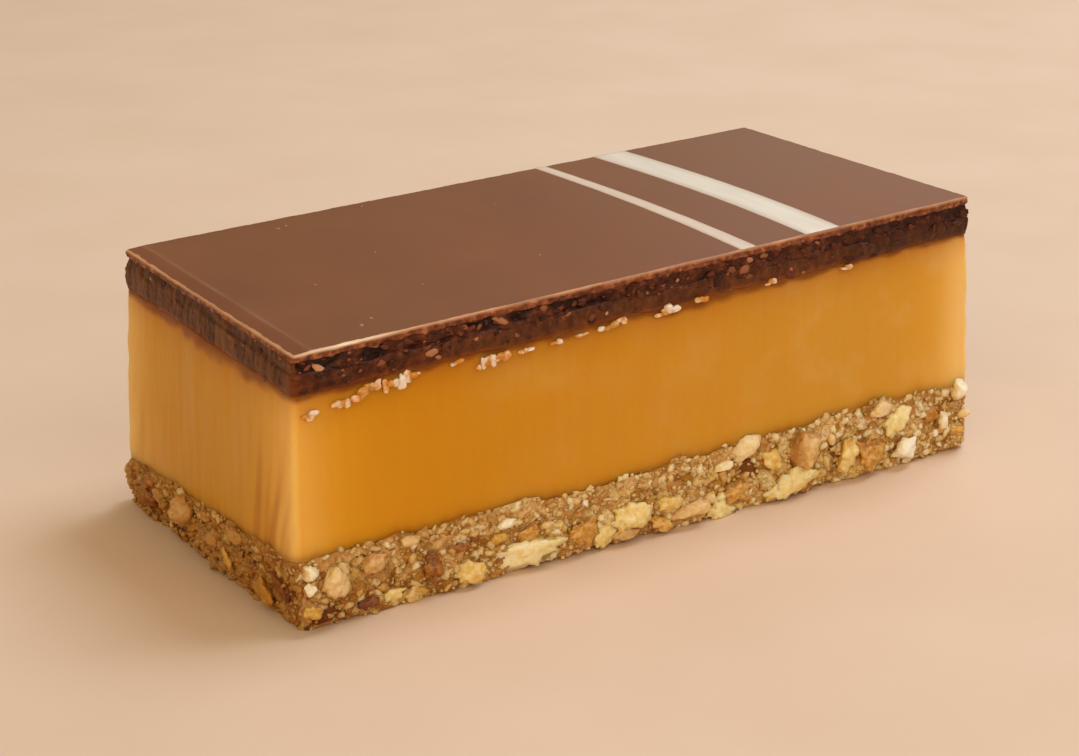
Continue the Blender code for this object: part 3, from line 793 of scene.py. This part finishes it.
bead_shapes, bead_faces = chopped_shapes(10, 3, 3, 0.30)
bead_shapes = [np.sign(shape) * abs(shape) ** BEAD_BOXIER for shape in bead_shapes]
beads = [(-1.0, *(np.array(bead) / 1000)) for bead in BEADS_SEEN]
for place in draw.uniform(-0.47, 0.47, BEADS_ELSEWHERE) * TOP_LENGTH:
    down = draw.uniform(0.0002, 0.0012)
    beads.append((1.0, place, CARAMEL_TOP - down, draw.uniform(0.0008, 0.0030), draw.uniform(0.0003, 0.0009)))
bits = []
for side, place, height, length, tall in beads:
    count = max(2, round(length / BEAD_BIT))
    for share in (np.arange(count) + 0.5) / count - 0.5:
        rise = share * length * BEAD_SLOPE + draw.uniform(-0.35, 0.35) * tall
        bit_length = length / count * draw.uniform(0.9, 2.6)
        bits.append((side, place + share * length, height + rise, bit_length, tall * draw.uniform(0.5, 1.6)))
bits = np.array(bits)
bead_out = np.column_stack([0 * bits[:, 0], bits[:, 0], 0 * bits[:, 0]])
bead_y = bits[:, 0] * (TOP_WIDTH / 2 + BEAD_PROUD)
scattered(
    "caramel_beads", bead_shapes, bead_faces, np.column_stack([bits[:, 1], bead_y, bits[:, 2]]),
    standing(bead_out, draw.uniform(-0.1, 0.3, len(bits)), draw.uniform(-0.15, 0.15, (len(bits), 2))),
    np.column_stack([bits[:, 3], bits[:, 4], draw.uniform(0.0005, 0.0008, len(bits))]) / 2,
    draw.uniform(0, 1, len(bits)), wet_caramel(), "caramel", 0.2,
)


# Ganache. Dark chocolate and cream set firm above the caramel. The cold blade smeared it smooth across the
# ends; along the sides it tore, so cracks, pits and crumbs run under the chocolate sheet.

SHEET_THICKNESS = 0.00090
GANACHE_TOP = HEIGHT - SHEET_THICKNESS
SUNK_INTO_CARAMEL = 0.0002
GANACHE_LEVELS = [
    (0.00, 0.00018, 0.00000),
    (0.15, 0.00026, 0.00012),
    (0.40, 0.00020, 0.00014),
    (0.65, 0.00012, 0.00008),
    (0.88, 0.00002, 0.00000),
    (1.00, -0.00012, -0.00012),
]
GANACHE_COUNTS = (600, 220, 6)
GANACHE_ROWS = 36
GANACHE_CORNER = 0.0006
TEAR = 0.0021
TEAR_AT_ENDS = 0.00010
TEAR_ALONG = 0.00018
GANACHE_GRAIN = 0.0008
GANACHE_GRAIN_RISE = 0.00022
PORE_WAVES = [(0.00006, 0.0004, 66.0)]
CRACK_DEPTH = 0.00028
HOLLOW_DEPTH = 0.00052
BELLY_RISE = 0.00008
DARKER = 0.42


def torn_ganache():
    """Set ganache: dark and slightly fatty where it tore, paler and satin where the blade smeared it."""
    material, tree, place, cut, pit, stain = new_material(
        "set_dark_ganache", ("cut", "pit", "stain"), IOR=1.47, Specular_IOR_Level=0.22
    )
    torn_stops = [(0.3, "#300e02"), (0.5, "#512208"), (0.7, "#7c401a")]
    smeared_stops = [(0.32, "#461e05"), (0.5, "#613614"), (0.68, "#7a4a20")]
    grain = add(tree, "TexNoise", {"Scale": 1 / 0.0009, "Detail": 5.0, "Roughness": 0.6}, {"Vector": place})
    torn = add(tree, "ValToRGB", {"stops": torn_stops}, {0: grain})
    drawn = add(tree, "Mapping", {"Scale": (1.0, 1.0, 0.12)}, {"Vector": place})
    streak = add(tree, "TexNoise", {"Scale": 1 / 0.0008, "Detail": 4.0}, {"Vector": drawn})
    smeared = add(tree, "ValToRGB", {"stops": smeared_stops}, {0: streak})
    face = add(tree, "Mix", {"data_type": "RGBA"}, {0: cut, 6: torn, 7: smeared})
    stained = add(tree, "Mix", {"data_type": "RGBA", 7: linear("#94450f")}, {0: stain, 6: face})
    # Painted shade: the cracks and hollows are darkened, and a darker tone lies towards both ends.
    dark = add(tree, "Mix", {"data_type": "RGBA", 7: linear("#200a03")}, {0: pit, 6: stained})
    sheen = add(
        tree, "MapRange", {"From Min": 0.3, "From Max": 0.7, "To Min": 0.55, "To Max": 0.36}, {"Value": grain}
    )
    bump = add(tree, "Bump", {"Strength": 0.5, "Distance": 0.00012}, {"Height": grain})
    return finished(material, Base_Color=dark, Roughness=sheen, Normal=bump)


ganache_grid, ganache_normals, ganache_shares = side_wall(
    GANACHE_LEVELS, GANACHE_CORNER, GANACHE_COUNTS, GANACHE_ROWS,
    chocolate_seam, lambda ring: 0 * ring[:, 0] + GANACHE_TOP + 0.00005,
)
x, y = ganache_grid[..., 0], ganache_grid[..., 1]
along_sides = ramp(abs(ganache_normals[..., 1]), 0.3, 0.8)
stretched = ganache_grid * np.array([0.45, 0.45, 1.0])
ledge_at = 0.60 + 0.16 * waves(stretched * np.array([1.0, 1.0, 0.0]), 0.0016, 44.0)
under_sheet = ramp(ganache_shares, ledge_at, ledge_at + 0.06) * ramp(ganache_shares, 1.02, 0.94)
torn_part = np.maximum(ramp(x, 0.012, -0.004), 0.30) * np.maximum(along_sides, 0.35)
hollows = np.clip(0.40 + 2.0 * waves(stretched, 0.0015, 83.0), 0, 1) * under_sheet * torn_part
crack = abs(waves(ganache_grid * np.array([0.30, 0.30, 1.0]), 0.0011, 57.0))
cracks = ramp(crack, 0.08, 0.0) * bell(ganache_shares - 0.62, 0.22) * along_sides
tear = (TEAR_AT_ENDS + TEAR_ALONG * along_sides) * waves(ganache_grid, TEAR, 50.0)
grain_rise = GANACHE_GRAIN_RISE * np.clip(ganache_shares - 0.35, 0.1, 1) * along_sides
tear += grain_rise * (0.5 - grains(ganache_grid, GANACHE_GRAIN, 61.0))
tear += swells(ganache_grid, PORE_WAVES) - CRACK_DEPTH * cracks - HOLLOW_DEPTH * hollows
tear += BELLY_RISE * along_sides * bell(ganache_shares - 0.42, 0.18)
ganache_wall = ganache_grid + ganache_normals * tear[..., None]
wiped = ramp(x, -0.036, -0.024) * ramp(ganache_shares, 0.62, 0.47)
stain = 0.7 * np.clip(1 - ganache_shares / 0.12 + 0.7 * waves(ganache_grid, 0.0016, 19.0), 0, 1)
from_corner = np.hypot(x + TOP_LENGTH / 2, y + TOP_WIDTH / 2)
darker = DARKER * np.interp(x, [-0.040, -0.034, 0.022, 0.031], [0.6, 0, 0, 1]) * along_sides
ganache = walled_layer(
    "ganache_set", flat_ring(CARAMEL_TOP - SUNK_INTO_CARAMEL, GANACHE_COUNTS), ganache_wall,
    flat_ring(GANACHE_TOP, GANACHE_COUNTS), torn_ganache(),
    {
        "cut": np.maximum(1 - along_sides, 0.45 * wiped),
        # Painted shade in cracks and hollows, with a darker tone towards both ends.
        "pit": np.clip(cracks * 0.6 + hollows * 0.9 + darker, 0, 0.9),
        "stain": np.maximum(stain, 0.6 * np.exp(-from_corner / 0.0009)),
    },
)
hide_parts("ganache_layer")


# Ganache crumbs. Bits that the blade tore off and left sticking to the sides of the ganache, dark, rounded
# and a little greasy, so that each one catches a small highlight; their palest tones are painted highlights.

SMALLEST_CRUMB = 0.00028
CRUMB_SPREAD = 0.00085


def ganache_crumb():
    """Torn ganache crumbs: dark brown with a fatty sheen, their palest tones painted highlights."""
    material, tree, place, tone = new_material(
        "torn_ganache_crumb", ("tone",), Roughness=0.46, IOR=1.48, Specular_IOR_Level=0.25
    )
    # The palest stops are painted highlights.
    stops = [(0.0, "#361305"), (0.5, "#673118"), (0.85, "#9a5c3a"), (1.0, "#c99068")]
    shade = add(tree, "ValToRGB", {"stops": stops}, {0: tone})
    fine = add(tree, "TexNoise", {"Scale": 1 / 0.0003, "Detail": 3.0}, {"Vector": place})
    bump = add(tree, "Bump", {"Strength": 0.5, "Distance": 0.00008}, {"Height": fine})
    return finished(material, Base_Color=shade, Normal=bump)


crumb_shapes, crumb_faces = chopped_shapes(8, 2, 6, 0.30)
row, column = wall_spots(ganache_wall, 0.00080, 0.0, 1.0, 0.80)
share = ganache_shares[row, column]
chance = 0.18 + 0.75 * bell(share - 0.62, 0.16) + 0.45 * (share > 0.85)
on_side = draw.uniform(0, 1, len(row)) < chance * (0.10 + 0.90 * along_sides[row, column])
centres = ganache_wall[row, column][on_side]
outward = ganache_normals[row, column][on_side]
size = SMALLEST_CRUMB + CRUMB_SPREAD * draw.uniform(0, 1, len(centres)) ** 2
# Crumbs darker towards the right end, with fewer painted highlights there.
highlight_and_tone = np.interp(centres[:, 0], [0.021, 0.027], [1.0, 0.45])
scattered(
    "ganache_crumbs", crumb_shapes, crumb_faces, centres,
    standing(outward, draw.uniform(-0.6, 0.6, len(centres)), draw.uniform(-0.3, 0.3, (len(centres), 2))),
    np.column_stack([size * 1.5, size * 0.85, size * 0.55]) / 2,
    draw.uniform(0, 1, len(centres)) ** 1.4 * highlight_and_tone, ganache_crumb(), "ganache", 0.5,
)


# Chocolate sheet. Tempered milk chocolate, spread thin on film and laid on while the ganache was soft, so its
# top is satin smooth. The knife broke it at the edges and pressed its left end down along a faint crease.

CREASE_INSET = 0.0021
CREASE_AT = -TOP_LENGTH / 2 + CREASE_INSET
CREASE_DROP = 0.00012
CREASE_RIDGE = 0.000025
CREASE_WIDTH = 0.00016
SHEET_COUNTS = (300, 130, 3)
SHEET_CORNER = 0.0004
RIM_WIDTH = 0.00020
HANGING = 0.00026
SHEET_WAVES = [(0.00006, 0.0030, 60.0)]
BROKEN_WAVES = [(0.00020, 0.0009, 64.0), (0.00012, 0.0004, 67.0)]
CHIP_WAVES = [(0.5, 0.0016, 70.0), (0.4, 0.0006, 75.0)]
TOP_WAVES = [(0.000012, 0.011, 90.0)]

# The side by share of the sheet's thickness, with how far it stands out; the rim by share of its width, with
# how pale it is; and the top's rings by their inset, closest at the crease.
SHEET_SIDE = [
    (-0.10, -0.00030), (0.0, -0.00006), (0.15, 0.0), (0.3, 0.00004), (0.45, 0.00006), (0.6, 0.00006),
    (0.78, 0.00002),
]
SHEET_RIM = [(0.35, 1.0), (1.0, 0.9), (1.35, 0.0)]
TOP_INSETS = [0.0004, 0.0007, 0.0011, 0.0016, 0.0019, 0.0020, 0.0021, 0.0022, 0.0023, 0.0027, 0.0034]
TOP_INSETS.extend(np.arange(0.0044, 0.0192, 0.0010))


def drop_past_crease(x):
    """How far the sheet's left end has been pressed down at this place along the slice."""
    return CREASE_DROP * ramp(x, CREASE_AT, -TOP_LENGTH / 2)


def on_crease(x):
    """From 1 on the crease's raised line to 0 beside it: it shapes the rise and places a painted highlight.
    """
    return bell(x - CREASE_AT, CREASE_WIDTH)


def cream_share(points):
    """How cream-coloured and wide the broken rim is: it is so only near the left end of the front, where the
    cream is partly a painted highlight.
    """
    return np.where(points[..., 1] < -0.45 * TOP_WIDTH, bell(points[..., 0] + 0.0380, 0.0048), 0.15)


def tempered_chocolate():
    """Tempered milk chocolate off smooth film: satin, evenly brown, paler and rough where it broke; its rim
    carries a painted highlight.
    """
    material, tree, place, rim, broken, cream, ridge, past, warm = new_material(
        "tempered_milk_chocolate", ("rim", "broken", "cream", "ridge", "past", "warm"), IOR=1.50,
        Specular_IOR_Level=0.30,
    )
    patch = add(tree, "TexNoise", {"Scale": 1 / 0.018, "Detail": 5.0, "Roughness": 0.55}, {"Vector": place})
    top_stops = [(0.3, "#74431e"), (0.5, "#7b4922"), (0.7, "#824e27")]
    colour = add(tree, "ValToRGB", {"stops": top_stops}, {0: patch})
    # Painted highlight along the crease's raised line.
    for share, blend, tint in (
        (warm, "MULTIPLY", "#ffecc0"), (past, "MULTIPLY", "#f8eade"), (ridge, "MIX", "#a37252"),
    ):
        tinted = {"data_type": "RGBA", "blend_type": blend, 7: linear(tint)}
        colour = add(tree, "Mix", tinted, {0: share, 6: colour})
    # The grain of a real break is finer than the picture can show, so it is drawn at 0.7 mm.
    grain = add(tree, "TexNoise", {"Scale": 1 / 0.0007, "Detail": 4.0}, {"Vector": place})
    side_stops = [(0.3, "#4c1f0c"), (0.52, "#844320"), (0.72, "#b8764c")]
    side = add(tree, "ValToRGB", {"stops": side_stops}, {0: grain})
    face = add(tree, "Mix", {"data_type": "RGBA"}, {0: broken, 6: colour, 7: side})
    # Painted highlight, partly: the rim's pale colours stand for light caught by the broken edge as well as
    # its real paleness.
    chip_and_highlight = add(tree, "Mix", {"data_type": "RGBA", 6: linear("#c58a5a"), 7: linear("#f0d0a8")}, {0: cream})
    edge = add(tree, "Mix", {"data_type": "RGBA"}, {0: rim, 6: face, 7: chip_and_highlight})
    sheen = add(
        tree, "MapRange", {"From Min": 0.3, "From Max": 0.7, "To Min": 0.42, "To Max": 0.50}, {"Value": patch}
    )
    bump = add(tree, "Bump", {"Strength": 0.03, "Distance": 0.00005}, {"Height": grain})
    return finished(material, Base_Color=edge, Roughness=sheen, Normal=bump)


def sheet_rings():
    """Rings up the sheet's broken side, over its rim and across its top, with the rim and side marks."""
    edge, normal = outline(0, 0, SHEET_CORNER, SHEET_COUNTS)
    thick = HEIGHT - GANACHE_TOP
    rows = []
    for share, stands_out in SHEET_SIDE:
        ring, _ = outline(stands_out, stands_out, SHEET_CORNER, SHEET_COUNTS)
        ragged = swells(raised(ring, 0.0), SHEET_WAVES)
        if share < 0.7:
            ragged += swells(raised(ring, share * thick), BROKEN_WAVES)
        hanging = HANGING * waves(raised(ring, 0.0), 0.0015, 88.0) * max(0.0, 1 - share / 0.5)
        ring = ring + normal * ragged[:, None]
        level = GANACHE_TOP + share * (thick - drop_past_crease(ring[:, 0])) + hanging
        rows.append((raised(ring, level), np.clip(0.5 * (share - 0.6) / 0.18, 0, 0.5), 1.0))
    chips = raised(edge, 0.0)
    chipped = RIM_WIDTH * (1 + swells(chips, CHIP_WAVES)) * (1 + 0.9 * cream_share(chips))
    for part, rim in SHEET_RIM:
        ring = edge + normal * (swells(chips, SHEET_WAVES) - chipped * part * 0.9)[:, None]
        down = chipped * 0.55 * max(0.0, 1 - part)
        # Painted highlight on the rim: palest towards the left, fading to the right.
        shown = np.interp(ring[:, 0], [-0.030, 0.005], [1.0, 0.55]) + 0.6 * waves(chips, 0.0035, 33.0)
        level = HEIGHT - drop_past_crease(ring[:, 0]) - down
        rows.append((raised(ring, level), rim * np.clip(shown, 0.15, 1), 0.5 if part < 1 else 0.0))
    for inset in TOP_INSETS:
        ring, _ = outline(-inset, -inset, SHEET_CORNER * 0.5, SHEET_COUNTS)
        level = HEIGHT - drop_past_crease(ring[:, 0]) + swells(raised(ring, 0.0), TOP_WAVES)
        rows.append((raised(ring, level + CREASE_RIDGE * on_crease(ring[:, 0])), 0.0, 0.0))
    rings, rims, sides = zip(*rows)
    return np.array(rings), *(np.array([mark + 0 * edge[:, 0] for mark in marks]) for marks in (rims, sides))


rings, rims, sides = sheet_rings()
x, y = rings[..., 0], rings[..., 1]
sheet = layer(
    "chocolate_sheet_top", rings, tempered_chocolate(),
    {
        "rim": rims,
        "broken": sides,
        "cream": cream_share(rings),
        # Painted highlight along the crease.
        "ridge": on_crease(x) * (0.35 + 0.3 * waves(rings, 0.0060, 97.0)),
        "past": ramp(x, CREASE_AT, CREASE_AT - 0.0006),
        "warm": ramp(y, 0.32 * TOP_WIDTH, -0.48 * TOP_WIDTH) * ramp(x, -0.030, 0.0),
    },
)
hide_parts("chocolate_sheet")


# Chocolate specks. Crumbs of pale chocolate that fell on the sheet and stuck.

# Their places and lengths in millimetres.
SPECKS_SEEN = [
    (-26.7, 16.3, 0.7), (-14.5, 18.2, 0.4), (-21.9, 2.8, 0.6), (-32.5, -2.9, 0.5), (-23.2, -9.2, 0.5),
    (-7.9, -8.3, 0.4), (-34.5, -16.1, 0.8), (-32.7, -14.9, 0.6), (-1.5, 10.0, 0.4), (-25.4, 16.6, 0.5),
]
SPECK_THICKNESS = 0.00016


def pale_speck():
    """Specks of milk chocolate, dusty with cocoa butter, so paler than the sheet."""
    material, tree, place = new_material("dusty_chocolate_speck", Roughness=0.6)
    patch = add(tree, "TexNoise", {"Scale": 1 / 0.0003, "Detail": 3.0}, {"Vector": place})
    shade = add(tree, "ValToRGB", {"stops": [(0.35, "#8c5a3c"), (0.6, "#b88a68")]}, {0: patch})
    return finished(material, Base_Color=shade)


specks = np.array(SPECKS_SEEN) / 1000
speck_up = np.tile([0.0, 0.0, 1.0], (len(specks), 1))
speck_along = np.tile([1.0, 0.0, 0.0], (len(specks), 1))
speck_shapes, speck_faces = chopped_shapes(5, 2, 5, 0.3)
scattered(
    "chocolate_specks", speck_shapes, speck_faces, raised(specks[:, :2], HEIGHT),
    standing(speck_up, draw.uniform(-1, 1, len(specks)), np.zeros((len(specks), 2)), speck_along),
    np.column_stack([specks[:, 2], specks[:, 2] * 0.6, np.full(len(specks), SPECK_THICKNESS)]) / 2,
    draw.uniform(0, 1, len(specks)), pale_speck(), "chocolate_sheet",
)


# White stripes. White chocolate was piped on the film first, so the stripes lie flush in the milk chocolate,
# with soft edges where the two ran together.

STRIPES = {
    "narrow": {"centre": 0.01160, "front": 0.00220, "back": 0.00160, "bow": 0.00080},
    "wide": {"centre": 0.02205, "front": 0.00500, "back": 0.00490, "bow": 0.00095},
}
STRIPE_THICKNESS = 0.00025
STRIPE_PROUD = 0.00002
STRIPE_STEPS = 160
STRIPE_END = 0.00016
STRIPE_UNEVEN = 0.00004
THIN_BELOW = 0.003

# Half of a stripe's section, from its foot to its middle: share of its half width, height, and edge mark.
STRIPE_SECTION = [
    (1.0, -STRIPE_THICKNESS, 1), (1.0, 0.0, 1), (0.93, STRIPE_PROUD, 0.4), (0.5, STRIPE_PROUD, 0),
    (0.0, STRIPE_PROUD, 0),
]


def white_chocolate():
    """White chocolate: ivory and satin, faintly streaked along its length, and pinker where it is thin."""
    material, tree, place, edge, thin = new_material(
        "white_chocolate_stripe", ("edge", "thin"), Roughness=0.38, IOR=1.48, Subsurface_Weight=0.2,
        Subsurface_Scale=0.0006,
    )
    drawn = add(tree, "Mapping", {"Scale": (1.0, 0.12, 1.0)}, {"Vector": place})
    streak = add(tree, "TexNoise", {"Scale": 1 / 0.0016, "Detail": 4.0}, {"Vector": drawn})
    stops = [(0.3, "#d9cebc"), (0.5, "#dfd6c5"), (0.7, "#e4dccd")]
    ivory = add(tree, "ValToRGB", {"stops": stops}, {0: streak})
    pinker = {"data_type": "RGBA", "blend_type": "MULTIPLY", 7: linear("#faece6")}
    pink = add(tree, "Mix", pinker, {0: thin, 6: ivory})
    soft = add(tree, "Mix", {"data_type": "RGBA", 7: linear("#b08d72")}, {0: edge, 6: pink})
    return finished(material, Base_Color=soft)


def stripe_piece(name, centre, front, back, bow, material):
    """A bowed stripe from side to side: rows across its width, rounded down at its two long edges."""
    half_span = TOP_WIDTH / 2 - STRIPE_END
    section = [(-across, height, edge) for across, height, edge in STRIPE_SECTION[:-1]] + STRIPE_SECTION[::-1]
    points, edges = [], []
    for i in range(STRIPE_STEPS + 1):
        share = i / STRIPE_STEPS
        y = half_span * (2 * share - 1)
        middle = centre + bow * (1 - (y / (TOP_WIDTH / 2)) ** 2)
        half = (front + (back - front) * share) / 2
        for across, height, edge in section:
            uneven = STRIPE_UNEVEN * noise.noise((y / 0.0025, across, centre * 900))
            points.append((middle + across * (half + uneven), y, HEIGHT + height))
            edges.append(edge)
    columns = len(section)
    faces = [list(range(columns)), list(range(STRIPE_STEPS * columns, (STRIPE_STEPS + 1) * columns))[::-1]]
    for i in range(STRIPE_STEPS):
        for j in range(columns):
            k = (j + 1) % columns
            a, b = i * columns, (i + 1) * columns
            faces.append((a + k, a + j, b + j, b + k))
    marks = {"edge": edges, "thin": np.full(len(points), 1.0 if front < THIN_BELOW else 0.0)}
    piece = mesh_piece(name, cut_by_hand(np.array(points)), faces, material, marks)
    return piece


ivory_chocolate = white_chocolate()
for which, stripe in STRIPES.items():
    piece = stripe_piece(f"white_stripe_{which}_set", **stripe, material=ivory_chocolate)
    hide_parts(f"white_stripe_{which}")


# Studio. A pale floor, a large soft light high at the right and behind, a soft sky and a weak fill, and the
# camera at the photograph's angle.

FLOOR_SIZE = 6.0
LENS = 80.07
SENSOR = 36.0
CAMERA_PLACE = Vector((-0.14988, -0.21222, 0.10003))
AZIMUTH = math.radians(-34.803)
ELEVATION = math.radians(18.715)
ROLL = math.radians(-0.148)
LIT_HEIGHT = 0.015

# Each light: its place, the length of its side, its power in watts and its colour.
LIGHTS = {
    "high_right": ((0.45, 0.00, 0.80), 0.50, 5.1, "#dfeaff"),
    "ceiling": ((0.00, 0.00, 0.90), 0.80, 0.5, "#ffdaaa"),
    "front": ((0.10, -0.80, 0.45), 0.60, 1.5, "#fffcf6"),
    "right_back": ((0.65, 0.45, 0.50), 0.50, 0.9, "#fff8ee"),
    "left_front": ((-0.60, -0.55, 0.45), 0.60, 2.6, "#ffebbc"),
}
ROOM_COLOUR = "#ffebd0"
ROOM_STRENGTH = 0.35


def pale_floor():
    """A plain pale board: warm, matt and very faintly uneven in tone."""
    material, tree, place = new_material("pale_matt_board", Roughness=0.75)
    patch = add(tree, "TexNoise", {"Scale": 1 / 0.03, "Detail": 5.0}, {"Vector": place})
    shade = add(tree, "ValToRGB", {"stops": [(0.3, "#dfc3a6"), (0.7, "#e4c9ae")]}, {0: patch})
    return finished(material, Base_Color=shade)


corners = [(x * FLOOR_SIZE / 2, y * FLOOR_SIZE / 2, 0.0) for x, y in ((-1, -1), (1, -1), (1, 1), (-1, 1))]
floor_mesh = bpy.data.meshes.new("floor")
floor_mesh.from_pydata(corners, [], [(0, 1, 2, 3)])
floor_mesh.materials.append(pale_floor())
floor = bpy.data.objects.new("floor", floor_mesh)
bpy.context.scene.collection.objects.link(floor)

for name, (place, size, watts, shade) in LIGHTS.items():
    lamp = bpy.data.lights.new(name, "AREA")
    lamp.size = size
    lamp.energy = watts
    lamp.color = linear(shade)[:3]
    light = bpy.data.objects.new(name, lamp)
    light.location = place
    light.rotation_euler = (Vector((0, 0, LIT_HEIGHT)) - Vector(place)).to_track_quat("-Z", "Y").to_euler()
    bpy.context.scene.collection.objects.link(light)

world = bpy.data.worlds.new("soft_room")
world.use_nodes = True
world.node_tree.nodes["Background"].inputs["Color"].default_value = linear(ROOM_COLOUR)
world.node_tree.nodes["Background"].inputs["Strength"].default_value = ROOM_STRENGTH
bpy.context.scene.world = world
bpy.context.scene.view_settings.view_transform = "Standard"

level_away = Vector((math.sin(AZIMUTH), -math.cos(AZIMUTH), 0.0))
back = level_away * math.cos(ELEVATION) + Vector((0, 0, math.sin(ELEVATION)))
right = Vector((0, 0, 1)).cross(back).normalized()
up = back.cross(right)
rolled_right = right * math.cos(ROLL) + up * math.sin(ROLL)
rolled_up = up * math.cos(ROLL) - right * math.sin(ROLL)
turned = Matrix((rolled_right, rolled_up, back)).transposed().to_4x4()
lens = bpy.data.cameras.new("camera")
lens.lens = LENS
lens.sensor_width = SENSOR
lens.clip_start = 0.01
camera = bpy.data.objects.new("camera", lens)
camera.matrix_world = Matrix.Translation(CAMERA_PLACE) @ turned
bpy.context.scene.collection.objects.link(camera)
bpy.context.scene.camera = camera
